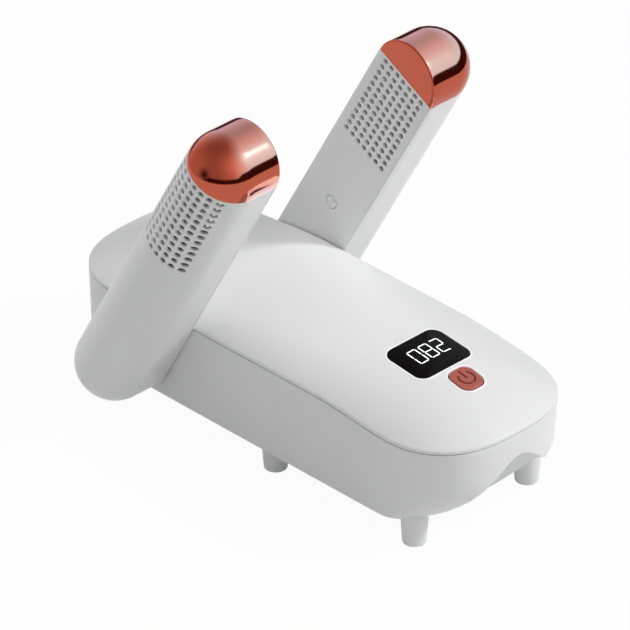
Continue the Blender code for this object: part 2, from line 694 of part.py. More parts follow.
def make_blower():
    """A scroll with its outlet to the rear, an inlet ring below, a motor above and an impeller."""
    ring = part("blower_inlet_ring", rod("blower_inlet_ring", BLOWER_RADIUS, (0, BLOWER_Y, BLOWER_LOW),
                                         DUCT_WALL), GREY)
    cut(ring, cutter("inlet_eye", rod("inlet_eye", INLET_RADIUS, (0, BLOWER_Y, 0), SCROLL_TOP)))

    scroll = part("blower_scroll", rod("blower_scroll", BLOWER_RADIUS, (0, BLOWER_Y, SCROLL_LOW),
                                       BLOWER_HEIGHT), GREY)
    outlet = box("outlet_block", (-OUTLET_WIDTH / 2, BLOWER_Y, SCROLL_LOW),
                 (OUTLET_WIDTH / 2, OUTLET_END, SCROLL_TOP))
    join(scroll, cutter("outlet_block", outlet))
    inner_radius = BLOWER_RADIUS - DUCT_WALL
    chamber = rod("scroll_chamber", inner_radius, (0, BLOWER_Y, 0), SCROLL_TOP - DUCT_WALL)
    passage = box("outlet_passage", (-OUTLET_WIDTH / 2 + DUCT_WALL, BLOWER_Y, SCROLL_LOW + DUCT_WALL),
                  (OUTLET_WIDTH / 2 - DUCT_WALL, OUTLET_END + DUCT_WALL, SCROLL_TOP - DUCT_WALL - GAP))
    motor_hole = rod("motor_hole", MOTOR_RADIUS + GAP, (0, BLOWER_Y, SCROLL_LOW), 2 * BLOWER_HEIGHT)
    cut(scroll, cutter("scroll_chamber", chamber), cutter("outlet_passage", passage),
        cutter("motor_hole", motor_hole))

    motor_low = SCROLL_TOP - DUCT_WALL - MOTOR_DROP
    flange_low = SCROLL_TOP + GAP
    flange_top = flange_low + MOTOR_FLANGE_THICKNESS
    profile = [(0, SCROLL_TOP + MOTOR_RISE), (MOTOR_RADIUS, SCROLL_TOP + MOTOR_RISE),
               (MOTOR_RADIUS, flange_top), (MOTOR_RADIUS + MOTOR_FLANGE_WIDTH, flange_top),
               (MOTOR_RADIUS + MOTOR_FLANGE_WIDTH, flange_low), (MOTOR_RADIUS, flange_low),
               (MOTOR_RADIUS, motor_low), (SHAFT_RADIUS, motor_low),
               (SHAFT_RADIUS, IMPELLER_LOW + IMPELLER_HEIGHT / 2), (0, IMPELLER_LOW + IMPELLER_HEIGHT / 2)]
    motor = turned("blower_motor", profile, STEEL)
    motor.location = (0, BLOWER_Y, 0)

    bore = SHAFT_RADIUS + GAP
    boss = 3 * SHAFT_RADIUS
    boss_low = PLATE_TOP - IMPELLER_HEIGHT / 3
    plate = [(bore, PLATE_TOP), (IMPELLER_RADIUS, PLATE_TOP), (IMPELLER_RADIUS, PLATE_TOP - IMPELLER_PLATE),
             (boss, PLATE_TOP - IMPELLER_PLATE), (boss, boss_low), (bore, boss_low)]
    impeller = turned("blower_impeller", plate, BLACK, closed=True)
    impeller.location = (0, BLOWER_Y, 0)
    blades = bmesh.new()
    for step in range(BLADE_COUNT):
        blade = bmesh.ops.create_cube(blades, size=1.0)["verts"]
        size = (BLADE_LENGTH, BLADE_THICKNESS, IMPELLER_HEIGHT - IMPELLER_PLATE / 2)
        middle = (IMPELLER_RADIUS - BLADE_LENGTH / 2 - GAP, 0, IMPELLER_LOW + size[2] / 2)
        spot = Matrix.Rotation(2 * math.pi * step / BLADE_COUNT, 4, "Z") @ Matrix.Translation(middle)
        bmesh.ops.transform(blades, matrix=spot @ Matrix.Diagonal((*size, 1.0)), verts=blade)
    tool = cutter("impeller_blades", mesh_of("impeller_blades", blades))
    tool.location = impeller.location
    join(impeller, tool)


def make_heater():
    """A resin frame between the scroll and the manifold, with a finned element and a cut-out."""
    front = OUTLET_END + GAP
    rear = MANIFOLD_FRONT - GAP
    half = OUTLET_WIDTH / 2
    frame = part("heater_frame", box("heater_frame", (-half, front, SCROLL_LOW), (half, rear, SCROLL_TOP)),
                 MICA)
    opening = box("heater_opening", (-half + DUCT_WALL, front - DUCT_WALL, SCROLL_LOW + DUCT_WALL),
                  (half - DUCT_WALL, rear + DUCT_WALL, SCROLL_TOP - DUCT_WALL))
    cut(frame, cutter("heater_opening", opening))

    reach = half - DUCT_WALL - GAP
    low = SCROLL_LOW + DUCT_WALL + GAP
    high = SCROLL_TOP - DUCT_WALL - GAP
    middle = (low + high) / 2
    core = part("heater_core", box("heater_core", (-reach, front + GAP, middle - HEATER_PLATE / 2),
                                   (reach, rear - GAP, middle + HEATER_PLATE / 2)), ALUMINIUM)
    fins = bmesh.new()
    count = int((reach - FIN_THICKNESS) / FIN_PITCH)
    for step in range(-count, count + 1):
        x = step * FIN_PITCH
        add_box(fins, (x - FIN_THICKNESS / 2, front + 2 * GAP, low),
                (x + FIN_THICKNESS / 2, rear - 2 * GAP, high))
    join(core, cutter("heater_fins", mesh_of("heater_fins", fins)))

    cutout_y = (front + rear) / 2
    seat = (0, cutout_y, SCROLL_TOP + GAP)
    part("thermal_cutout", rod("thermal_cutout", CUTOUT_RADIUS, seat, CUTOUT_HEIGHT), STEEL)


# The stack of pieces on a pivot, from the housing wall inwards
BUSH_RADIUS = HUB_RADIUS + GAP + BUSH_WALL
BUSH_FLANGE_RADIUS = BUSH_RADIUS + BUSH_FLANGE_WIDTH
BUSH_SEAT_X = wall_x(PIVOT_HEIGHT - BUSH_FLANGE_RADIUS) - WALL - GAP
CLIP_SEAT_X = BUSH_SEAT_X - BUSH_FLANGE_THICKNESS - GAP
CLIP_END_X = CLIP_SEAT_X - CLIP_THICKNESS
MANIFOLD_X = CLIP_END_X - MANIFOLD_SIDE_GAP
HUB_NECK_RADIUS = HUB_RADIUS - HUB_NECK_STEP
HUB_BORE = HUB_RADIUS - HUB_WALL


def make_manifold():
    """A box that splits the warm air to the two hubs."""
    low = FLOOR_TOP + GAP
    high = 2 * PIVOT_HEIGHT - low
    rear = MANIFOLD_FRONT + MANIFOLD_LENGTH
    manifold = part("air_manifold", box("air_manifold", (-MANIFOLD_X, MANIFOLD_FRONT, low),
                                        (MANIFOLD_X, rear, high)), GREY)
    room = box("manifold_room", (-MANIFOLD_X + DUCT_WALL, MANIFOLD_FRONT + DUCT_WALL, low + DUCT_WALL),
               (MANIFOLD_X - DUCT_WALL, rear - DUCT_WALL, high - DUCT_WALL))
    mouth_half = OUTLET_WIDTH / 2 - DUCT_WALL
    mouth = box("manifold_mouth", (-mouth_half, MANIFOLD_FRONT - DUCT_WALL, SCROLL_LOW + DUCT_WALL),
                (mouth_half, MANIFOLD_FRONT + 2 * DUCT_WALL, SCROLL_TOP - DUCT_WALL))
    sides = rod("manifold_sides", HUB_NECK_RADIUS + GAP, (-2 * MANIFOLD_X, PIVOT_Y, PIVOT_HEIGHT),
                4 * MANIFOLD_X, "X")
    cut(manifold, cutter("manifold_room", room), cutter("manifold_mouth", mouth),
        cutter("manifold_sides", sides))


def make_power():
    """The mains inlet in the rear wall and the board behind it."""
    face = HALF_LENGTH - INLET_SUNK
    low_z = INLET_BLOCK_Z - INLET_BLOCK_HEIGHT / 2
    block = box("power_inlet", (-INLET_BLOCK_WIDTH / 2, face - INLET_BLOCK_DEPTH, low_z),
                (INLET_BLOCK_WIDTH / 2, face, low_z + INLET_BLOCK_HEIGHT))
    inlet = part("power_inlet", block, BLACK)
    sockets = bmesh.new()
    add_box(sockets, (-SOCKET_SPREAD, face - SOCKET_DEPTH, INLET_BLOCK_Z - SOCKET_RADIUS),
            (SOCKET_SPREAD, face + SOCKET_DEPTH, INLET_BLOCK_Z + SOCKET_RADIUS))
    cut(inlet, cutter("socket_middle", mesh_of("socket_middle", sockets)))
    pins = bmesh.new()
    for side in (1, -1):
        round_end = rod(f"socket_end_{side}", SOCKET_RADIUS,
                        (side * SOCKET_SPREAD, face - SOCKET_DEPTH, INLET_BLOCK_Z), 2 * SOCKET_DEPTH, "Y")
        cut(inlet, cutter(f"socket_end_{side}", round_end))
        add_rod(pins, PIN_RADIUS, (side * SOCKET_SPREAD, face - SOCKET_DEPTH - GAP, INLET_BLOCK_Z),
                0.7 * SOCKET_DEPTH, "Y")
    join(inlet, cutter("inlet_pins", mesh_of("inlet_pins", pins)))
    low = FLOOR_TOP + POWER_BOARD_RISE
    half_x = POWER_BOARD_WIDTH / 2
    half_y = POWER_BOARD_LENGTH / 2
    part("power_board", box("power_board", (-half_x, POWER_BOARD_Y - half_y, low),
                            (half_x, POWER_BOARD_Y + half_y, low + BOARD_THICKNESS)), BOARD)


# The arms, in a frame whose Z runs along the arm from its pivot and whose X points outwards

def stadium_ring(radius, x, reach):
    points = []
    for base, first in ((reach, 0.0), (0.0, math.pi)):
        for step in range(ARC_STEPS + 1):
            angle = first + math.pi * step / ARC_STEPS
            points.append((x, radius * math.cos(angle), base + radius * math.sin(angle)))
    return points


def arm_body(name, inset, start):
    """A stadium with straight walls and a half-round outer side, drawn in by inset all round."""
    radius = ARM_RADIUS - inset
    rings = [stadium_ring(radius, start, ARM_REACH)]
    outer = ARM_RADIUS - HOLE_EDGE_MARGIN + HOLE_PITCH / 2
    columns = int(2 * outer / HOLE_PITCH)
    seams = [HOLE_PITCH * (columns / 2 - step) for step in range(columns) if columns / 2 - step > 0]
    first = math.acos(min(seams[0] / radius, 1.0))
    angles = [first * step / 3 for step in range(3)] + [math.acos(seam / radius) for seam in seams]
    for angle in angles + [math.pi / 2]:
        rings.append(stadium_ring(radius * math.cos(angle), ARM_STRAIGHT_WALL + radius * math.sin(angle),
                                  ARM_REACH))
    return loft(name, rings, start_cap=True)


def perforation(name):
    bm = bmesh.new()
    columns = int(2 * (ARM_RADIUS - HOLE_EDGE_MARGIN) / HOLE_PITCH) + 1
    rows = int(PERFORATED_LENGTH / HOLE_PITCH + 0.5) + 1
    depth = ARM_STRAIGHT_WALL + ARM_RADIUS
    for row in range(rows):
        z = ARM_REACH - FIRST_ROW_BELOW_CAP - row * HOLE_PITCH
        for column in range(columns):
            y = (column - (columns - 1) / 2) * HOLE_PITCH
            add_rod(bm, HOLE_RADIUS, (-depth / 2, y, z), 2 * depth, "X", HOLE_SIDES)
    return mesh_of(name, bm)


def ring_profile(inner, outer, low, high):
    return [(inner, high), (outer, high), (outer, low), (inner, low)]


def along_x(target):
    """Point a turned piece's axis outwards along the arm frame's X."""
    target.rotation_euler = (0, math.pi / 2, 0)


def make_arm(side, direction):
    """One arm: shell, flat face, copper cap, hub, clip, screw and plug, with the bush in the wall."""
    tilt = math.pi / 2 - ARM_LEAN
    pivot = bpy.data.objects.new(f"{side}_arm_pivot", None)
    PARTS.objects.link(pivot)
    pivot.location = (direction * FACE_X, PIVOT_Y, PIVOT_HEIGHT)
    pivot.rotation_euler = (tilt, 0, 0) if direction > 0 else (-tilt, 0, math.pi)
    far = 2 * (ARM_REACH + ARM_RADIUS)
    seam = ARM_REACH - GAP / 2
    shell_start = FACE_THICKNESS + GAP

    shell = part(f"{side}_arm_shell", arm_body("arm_shell", 0.0, shell_start), WHITE, pivot)
    beyond_tip = cutter(f"{side}_beyond_seam", box("beyond_seam", (-far, -far, seam), (far, far, far)), pivot)
    hollow = cutter(f"{side}_arm_hollow", arm_body("arm_hollow", ARM_WALL, 0.0), pivot)
    holes = cutter(f"{side}_perforation", perforation("perforation"), pivot)
    boss_start = CUP_DEPTH + GAP
    boss_end = ARM_STRAIGHT_WALL + ARM_RADIUS - ARM_WALL / 2
    boss = cutter(f"{side}_screw_boss", rod("screw_boss", BOSS_RADIUS, (boss_start, 0, PLUG_FROM_PIVOT),
                                            boss_end - boss_start, "X"), pivot)
    pilot = cutter(f"{side}_screw_pilot", rod("screw_pilot", SCREW_RADIUS + GAP, (0, 0, PLUG_FROM_PIVOT),
                                              CUP_DEPTH + SCREW_LENGTH, "X"), pivot)
    cut(shell, beyond_tip, hollow)
    join(shell, boss)
    cut(shell, pilot, holes)

    face_rings = [stadium_ring(ARM_RADIUS, x, ARM_REACH) for x in (0.0, FACE_THICKNESS)]
    face = part(f"{side}_arm_face", loft("arm_face", face_rings, start_cap=True, end_cap=True), WHITE, pivot)
    well = PLUG_RADIUS + GAP
    cup = cutter(f"{side}_screw_cup", rod("screw_cup", well + CUP_WALL,
                                          (FACE_THICKNESS / 2, 0, PLUG_FROM_PIVOT),
                                          CUP_DEPTH - FACE_THICKNESS / 2, "X"), pivot)
    cup_well = cutter(f"{side}_cup_well", rod("cup_well", well, (-CUP_DEPTH, 0, PLUG_FROM_PIVOT),
                                              2 * CUP_DEPTH - CUP_FLOOR, "X"), pivot)
    hub_hole = cutter(f"{side}_hub_hole", rod("hub_hole", HUB_RADIUS + GAP, (-far, 0, 0), 2 * far, "X"),
                      pivot)
    cut(face, beyond_tip)
    join(face, cup)
    cut(face, cup_well, pilot, hub_hole, holes)

    cap = part(f"{side}_arm_cap", arm_body("arm_cap", 0.0, 0.0), COPPER, pivot)
    below_tip = cutter(f"{side}_below_seam", box("below_seam", (-far, -far, -far), (far, far, seam + GAP)),
                       pivot)
    cap_hollow = cutter(f"{side}_cap_hollow", arm_body("cap_hollow", CAP_WALL, CAP_WALL), pivot)
    cut(cap, below_tip, cap_hollow)

    flange_low = FACE_THICKNESS + GAP
    flange_high = flange_low + HUB_FLANGE_THICKNESS
    shoulder = CLIP_SEAT_X - FACE_X
    hub_end = MANIFOLD_X - DUCT_WALL - FACE_X
    hub = turned(f"{side}_hub", [
        (HUB_BORE, flange_high), (HUB_RADIUS + HUB_FLANGE_WIDTH, flange_high),
        (HUB_RADIUS + HUB_FLANGE_WIDTH, flange_low), (HUB_RADIUS, flange_low), (HUB_RADIUS, shoulder),
        (HUB_NECK_RADIUS, shoulder), (HUB_NECK_RADIUS, hub_end), (HUB_BORE, hub_end)],
        GREY, pivot, closed=True)
    clip_inner = HUB_NECK_RADIUS + GAP
    clip_profile = ring_profile(clip_inner, clip_inner + CLIP_WIDTH, CLIP_END_X - FACE_X, shoulder - GAP)
    clip = turned(f"{side}_hub_clip", clip_profile, STEEL, pivot, closed=True)
    screw = turned(f"{side}_arm_screw", screw_profile(SCREW_LENGTH - CUP_FLOOR), STEEL, pivot)
    screw.location = (CUP_DEPTH - CUP_FLOOR - GAP, 0, PLUG_FROM_PIVOT)
    plug_end = PLUG_SUNK + PLUG_THICKNESS
    plug_profile = [(0, plug_end), (PLUG_RADIUS, plug_end), (PLUG_RADIUS, PLUG_SUNK), (0, PLUG_SUNK)]
    plug = turned(f"{side}_screw_plug", plug_profile, WHITE, pivot)
    plug.location = (0, 0, PLUG_FROM_PIVOT)
    for piece in (hub, clip, screw, plug):
        along_x(piece)

    bush_out = wall_x(PIVOT_HEIGHT - BUSH_RADIUS) - GAP
    bush = turned(f"{side}_hub_bush", [
        (HUB_RADIUS + GAP, bush_out), (BUSH_RADIUS, bush_out), (BUSH_RADIUS, BUSH_SEAT_X),
        (BUSH_FLANGE_RADIUS, BUSH_SEAT_X), (BUSH_FLANGE_RADIUS, BUSH_SEAT_X - BUSH_FLANGE_THICKNESS),
        (HUB_RADIUS + GAP, BUSH_SEAT_X - BUSH_FLANGE_THICKNESS)], GREY, closed=True)
    bush.location = (0, PIVOT_Y, PIVOT_HEIGHT)
    bush.rotation_euler = (0, direction * math.pi / 2, 0)


make_housing()
make_lid()
make_display()
make_button()
make_feet()
make_lid_screws()
make_grille()
make_blower()
make_heater()
make_manifold()
make_power()
make_arm("right", 1)
make_arm("left", -1)
for item in PARTS.objects:
    if item.type == "MESH":
        item.data.shade_smooth()
        item.data.set_sharp_from_angle(angle=math.radians(35))
print("pieces", sum(item.type == "MESH" for item in PARTS.objects))
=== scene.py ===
# %% [markdown]
# # A folding shoe dryer
# A domed white base blows warm air into two perforated arms, which lean on hinges beside it and end in
# copper caps. The engineering model gives every piece its place and its size. This lesson dresses that
# model: it draws the smooth shells again at a finer step, drills the holes, and gives each finish its
# own grain and gloss.

# %% Load the frame
import math

import bmesh
import bpy
import numpy as np
from mathutils import Matrix, Vector


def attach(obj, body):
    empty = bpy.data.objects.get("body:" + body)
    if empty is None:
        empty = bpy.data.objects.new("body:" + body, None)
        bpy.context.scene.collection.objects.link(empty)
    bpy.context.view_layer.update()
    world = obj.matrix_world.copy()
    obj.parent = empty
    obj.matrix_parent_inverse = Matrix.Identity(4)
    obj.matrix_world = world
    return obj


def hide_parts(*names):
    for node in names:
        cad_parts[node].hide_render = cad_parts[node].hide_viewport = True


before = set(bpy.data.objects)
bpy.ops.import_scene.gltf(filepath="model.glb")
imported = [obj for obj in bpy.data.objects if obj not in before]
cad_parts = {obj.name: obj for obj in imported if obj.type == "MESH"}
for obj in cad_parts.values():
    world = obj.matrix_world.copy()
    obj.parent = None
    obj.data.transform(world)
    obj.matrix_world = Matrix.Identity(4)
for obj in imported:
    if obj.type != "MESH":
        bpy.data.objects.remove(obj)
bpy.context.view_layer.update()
scene = bpy.context.scene
scene.view_settings.view_transform = "Standard"

# %% [markdown]
# ## Camera
# The picture was taken with a long lens, from the front left and from about a third of the way up. A
# long lens keeps parallel edges almost parallel, so the camera stands far away and looks through a
# narrow angle. Its place is worked out from an aim point, two angles and a distance.

# %% Camera
CAMERA_AZIMUTH = math.radians(44.56)
CAMERA_ELEVATION = math.radians(32.0)
CAMERA_DISTANCE = 4.5
CAMERA_AIM = Vector((-0.00096, 0.00313, 0.0697))
SENSOR_WIDTH, PICTURE_WIDTH, FOCAL_PIXELS = 36.0, 630, 8506.9

camera = bpy.data.objects.new("camera", bpy.data.cameras.new("camera"))
scene.collection.objects.link(camera)
camera.data.sensor_width = SENSOR_WIDTH
camera.data.lens = FOCAL_PIXELS / PICTURE_WIDTH * SENSOR_WIDTH
camera.data.clip_end = 20.0
towards_camera = Vector((-math.sin(CAMERA_AZIMUTH) * math.cos(CAMERA_ELEVATION),
                         -math.cos(CAMERA_AZIMUTH) * math.cos(CAMERA_ELEVATION),
                         math.sin(CAMERA_ELEVATION)))
camera.location = CAMERA_AIM + CAMERA_DISTANCE * towards_camera
camera.rotation_euler = (-towards_camera).to_track_quat("-Z", "Y").to_euler()
scene.camera = camera
print("lens", round(camera.data.lens, 1), "mm")

# %% [markdown]
# ## The rule behind the base
# Seen from above, the base has straight sides and squarish round ends: a superellipse with a power of
# 2.7. The lid rises from its rim to a crown, and the rim itself falls a little towards both ends. With
# these rules as functions, any piece that lies on the lid can ask how high the lid is at its own spot.

# %% Base rules
HALF_LENGTH, HALF_WIDTH, END_DEPTH, END_POWER = 0.146, 0.0554, 0.056, 2.7
STRAIGHT = HALF_LENGTH - END_DEPTH
FLOOR, RIM, RIM_DROP, CROWN, CROWN_POWER = 0.0134, 0.070, 0.005, 0.0155, 2.4
RIM_FALL_START, RIM_FALL = HALF_LENGTH - 0.096, 0.070
SKIRT, WALL, DRAFT, GAP = 0.0018, 0.0022, 0.0012, 0.0003


def ease(share):
    share = np.clip(share, 0.0, 1.0)
    return share * share * (3 - 2 * share)


def rim_height(y):
    return RIM - RIM_DROP * ease((np.abs(y) - RIM_FALL_START) / RIM_FALL)


def lid_height(x, y):
    beyond = np.maximum(np.abs(y) - STRAIGHT, 0.0) / END_DEPTH
    share = ((np.abs(x) / HALF_WIDTH) ** END_POWER + beyond ** END_POWER) ** (1 / END_POWER)
    return rim_height(y) + CROWN * (1 - share ** CROWN_POWER)


def outline_shares(count):
    """Evenly spaced (across, y, along) shares round the outline, the right half and then the left."""
    angle = np.linspace(0, np.pi / 2, 3000)
    across, along = np.sin(angle) ** (2 / END_POWER), np.cos(angle) ** (2 / END_POWER)
    across = np.concatenate([across, across[::-1]])
    start = np.concatenate([np.full(3000, -STRAIGHT), np.full(3000, STRAIGHT)])
    along = np.concatenate([-along, along[::-1]])
    x, y = across * HALF_WIDTH, start + along * END_DEPTH
    walked = np.concatenate([[0], np.cumsum(np.hypot(np.diff(x), np.diff(y)))])
    even = np.linspace(0, walked[-1], count + 1)
    right = np.stack([np.interp(even, walked, values) for values in (across, start, along)], axis=1)
    left = right[-2:0:-1] * (-1, 1, 1)
    return np.concatenate([right, left])


OUTLINE = outline_shares(180)


def base_ring(inset, height):
    """The outline drawn in by inset; inset and height are numbers or functions of y."""
    y = OUTLINE[:, 1] + OUTLINE[:, 2] * END_DEPTH
    drawn = inset(y) if callable(inset) else np.full(len(y), inset)
    z = height(y) if callable(height) else np.full(len(y), height)
    return np.stack([OUTLINE[:, 0] * (HALF_WIDTH - drawn),
                     OUTLINE[:, 1] + OUTLINE[:, 2] * (END_DEPTH - drawn), z], axis=1)


print("lid crown", round(float(lid_height(0, 0)), 4), "outline points", len(OUTLINE))

# %% [markdown]
# ## Small tools for meshes
# Most shells here are lofts: rings of points, one after another, joined by four-sided faces. A ring that
# shrinks to a line or a point closes the surface. Open shells get their thickness from Solidify, and
# holes come from Boolean, which is applied at once so that each finished piece is a plain mesh.

# %% Mesh tools
def mesh_from(name, bm, inside=None):
    """Weld, turn the faces outwards (away from the point inside) and make a mesh."""
    bmesh.ops.remove_doubles(bm, verts=bm.verts, dist=1e-6)
    bmesh.ops.recalc_face_normals(bm, faces=bm.faces)
    if inside is not None:
        inside = Vector(inside)
        outward = sum(face.calc_area() * face.normal.dot(face.calc_center_median() - inside)
                      for face in bm.faces)
        if outward < 0:
            bmesh.ops.reverse_faces(bm, faces=bm.faces)
    mesh = bpy.data.meshes.new(name)
    bm.to_mesh(mesh)
    bm.free()
    return mesh


def add_rings(bm, rings, closed=True):
    """Join rings of equal count with four-sided faces."""
    loops = [[bm.verts.new(point) for point in ring] for ring in rings]
    count = len(loops[0])
    for lower, upper in zip(loops, loops[1:]):
        for i in range(count if closed else count - 1):
            j = (i + 1) % count
            bm.faces.new((lower[i], lower[j], upper[j], upper[i]))
    return loops


def loft(name, rings, start_cap=False, end_cap=False, inside=None):
    bm = bmesh.new()
    loops = add_rings(bm, rings)
    if start_cap:
        bm.faces.new(loops[0])
    if end_cap:
        bm.faces.new(loops[-1])
    return mesh_from(name, bm, inside)


def turned(name, profile, steps=64):
    """Turn (radius, height) points about Z."""
    angles = np.linspace(0, 2 * np.pi, steps, endpoint=False)
    rings = [np.stack([radius * np.cos(angles), radius * np.sin(angles), np.full(steps, height)], axis=1)
             for radius, height in profile]
    return loft(name, rings)


def shown(name, mesh):
    made = bpy.data.objects.new(name, mesh)
    scene.collection.objects.link(made)
    return made


def settle(piece):
    """Replace a piece's modifiers by the mesh that they make."""
    graph = bpy.context.evaluated_depsgraph_get()
    mesh = bpy.data.meshes.new_from_object(piece.evaluated_get(graph))
    mesh.name = piece.name
    piece.modifiers.clear()
    piece.data = mesh
    return piece


def thicken(piece, thickness):
    step = piece.modifiers.new("wall", "SOLIDIFY")
    step.thickness = thickness
    step.offset = -1.0
    step.use_even_offset = True
    return settle(piece)


def carve(piece, mesh, operation="DIFFERENCE"):
    tool = shown("tool", mesh)
    step = piece.modifiers.new("carve", "BOOLEAN")
    step.operation = operation
    step.object = tool
    step.solver = "EXACT"
    settle(piece)
    bpy.data.objects.remove(tool, do_unlink=True)
    return piece


def soften(piece, width, segments=2, angle=35):
    step = piece.modifiers.new("edge", "BEVEL")
    step.width = width
    step.segments = segments
    step.limit_method = "ANGLE"
    step.angle_limit = math.radians(angle)
    return settle(piece)


def rod(name, radius, start, end, steps=64):
    start, end = Vector(start), Vector(end)
    bm = bmesh.new()
    turn = (end - start).to_track_quat("Z", "Y").to_matrix().to_4x4()
    bmesh.ops.create_cone(bm, cap_ends=True, segments=steps, radius1=radius, radius2=radius,
                          depth=(end - start).length, matrix=Matrix.Translation((start + end) / 2) @ turn)
    return mesh_from(name, bm)


def dress(piece, finish, body, slot, *nodes, sharp=32):
    """Give a finished piece its finish, its body and the nodes that it stands for."""
    piece.data.materials.clear()
    piece.data.materials.append(finish)
    piece.data.shade_smooth()
    piece.data.set_sharp_from_angle(angle=math.radians(sharp))
    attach(piece, body)
    if nodes:
        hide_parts(*nodes)
    print(piece.name, len(piece.data.polygons), "faces")
    return piece


# %% [markdown]
# ## Node maths
# A finish is a small program made of nodes. Wiring Math nodes by hand is slow to read, so one class
# wraps a socket and lets it take part in ordinary sums, and one method makes every other kind of node.
# The same class serves the Geometry Nodes trees further down.

# %% Node tools
class Value:
    """A socket that can stand in a sum; each operator adds a Math node."""

    def __init__(self, nodes, socket):
        self.nodes = nodes
        self.socket = socket

    def maths(self, operation, first, second):
        return self.nodes.node("ShaderNodeMath", {"operation": operation}, {0: first, 1: second})

    def __add__(self, other):
        return self.maths("ADD", self, other)

    def __radd__(self, other):
        return self.maths("ADD", other, self)

    def __sub__(self, other):
        return self.maths("SUBTRACT", self, other)

    def __rsub__(self, other):
        return self.maths("SUBTRACT", other, self)

    def __mul__(self, other):
        return self.maths("MULTIPLY", self, other)

    def __rmul__(self, other):
        return self.maths("MULTIPLY", other, self)

    def __pow__(self, other):
        return self.maths("POWER", self, other)


class Nodes:
    """A node tree under construction."""

    def __init__(self, tree):
        self.tree = tree

    def node(self, kind, settings=None, sockets=None, output=0):
        """Add a node: its settings first, then the values or links of its sockets."""
        made = self.tree.nodes.new(kind)
        for name, setting in (settings or {}).items():
            setattr(made, name, setting)
        for key, value in (sockets or {}).items():
            if isinstance(value, Value):
                self.tree.links.new(value.socket, made.inputs[key])
            else:
                made.inputs[key].default_value = value
        return Value(self, made.outputs[output])


class Finish(Nodes):
    """A material around one Principled shader."""

    def __init__(self, name):
        self.material = bpy.data.materials.new(name)
        self.material.use_nodes = True
        super().__init__(self.material.node_tree)
        self.shader = self.tree.nodes["Principled BSDF"]
        self.place = self.node("ShaderNodeTexCoord", output="Object")

    def noise(self, scale, detail=2.0, stretch=None):
        place = self.place
        if stretch is not None:
            place = self.node("ShaderNodeMapping", {}, {"Vector": place, "Scale": stretch})
        return self.node("ShaderNodeTexNoise", {}, {"Vector": place, "Scale": scale, "Detail": detail})

    def between(self, share, first, second):
        return self.node("ShaderNodeMix", {"data_type": "RGBA"},
                         {0: share, 6: (*first, 1.0), 7: (*second, 1.0)}, output=2)

    def bump(self, height, distance, strength=1.0):
        return self.node("ShaderNodeBump", {}, {"Height": height, "Distance": distance, "Strength": strength})

    def surface(self, **sockets):
        for name, value in sockets.items():
            target = self.shader.inputs[name.replace("_", " ")]
            if isinstance(value, Value):
                self.tree.links.new(value.socket, target)
            else:
                target.default_value = value
        return self.material


print("node tools ready")

# %% [markdown]
# ## Finishes
# The body is white moulded plastic. Its mould was spark-eroded, which leaves a satin surface with a
# grain of a few tenths of a millimetre. The grain goes into the roughness and into a very shallow
# bump, and a slow cloud of noise keeps the white from being one flat number.

# %% White plastic
def moulded(name, dark, light, roughness, grain_size=0.00038, depth=0.000012):
    finish = Finish(name)
    grain = finish.noise(1 / grain_size, 2.0)
    cloud = finish.noise(26.0, 3.0)
    return finish.surface(
        Base_Color=finish.between(cloud, dark, light),
        Roughness=(grain - 0.5) * 0.16 + roughness,
        Normal=finish.bump(grain, depth, 0.6))


WHITE = moulded("white_plastic", (0.795, 0.797, 0.800), (0.815, 0.816, 0.818), 0.46)
RIM_WHITE = moulded("rim_white", (0.965, 0.965, 0.965), (0.975, 0.975, 0.975), 0.32, depth=0.000004)
BLACK = moulded("black_plastic", (0.016, 0.016, 0.017), (0.024, 0.024, 0.025), 0.48)
GREY = moulded("grey_nylon", (0.42, 0.42, 0.43), (0.48, 0.48, 0.49), 0.52)
ROSE = moulded("rose_plastic", (0.420, 0.112, 0.085), (0.455, 0.124, 0.094), 0.42, depth=0.000008)
# The darker rose of the mark's bead is painted shade for the engraved grooves; its gloss is the surface's own.
ROSE_GROOVE_SHADE = moulded("rose_gloss", (0.215, 0.040, 0.030), (0.235, 0.045, 0.034), 0.17, depth=0.000003)
print("plastics made")

# %% [markdown]
# ## Copper plating
# The caps are plated and polished. Metal takes its colour from what it reflects, so the finish only
# needs a copper tint and a low roughness with faint polishing marks. The surroundings that it mirrors
# are built at the end, with the lamps.

# %% Metals and glass
def metal(name, dark, light, roughness):
    finish = Finish(name)
    marks = finish.noise(900.0, 3.0, stretch=(1.0, 1.0, 0.12))
    cloud = finish.noise(40.0, 2.0)
    return finish.surface(
        Base_Color=finish.between(cloud, dark, light), Metallic=1.0,
        Roughness=(marks - 0.5) * 0.05 + roughness,
        Normal=finish.bump(marks, 0.000002, 0.25))


COPPER = metal("copper_plating", (0.472, 0.100, 0.057), (0.492, 0.108, 0.062), 0.085)
STEEL = metal("steel", (0.56, 0.56, 0.58), (0.62, 0.62, 0.64), 0.30)
ALUMINIUM = metal("aluminium", (0.72, 0.72, 0.74), (0.78, 0.78, 0.80), 0.36)


def window_glass():
    finish = Finish("black_window")
    smear = finish.noise(60.0, 3.0)
    return finish.surface(Base_Color=finish.between(smear, (0.004, 0.004, 0.004), (0.006, 0.006, 0.0065)),
                          Roughness=smear * 0.03 + 0.03, Specular_IOR_Level=0.03)


GLASS = window_glass()


def lit_digits():
    finish = Finish("lit_digits")
    glow = finish.noise(300.0, 1.0)
    tint = finish.between(glow, (0.90, 0.92, 0.94), (1.0, 1.0, 1.0))
    return finish.surface(Base_Color=(0.8, 0.8, 0.8, 1.0), Roughness=0.5, Emission_Color=tint,
                          Emission_Strength=0.9)


DIGITS = lit_digits()


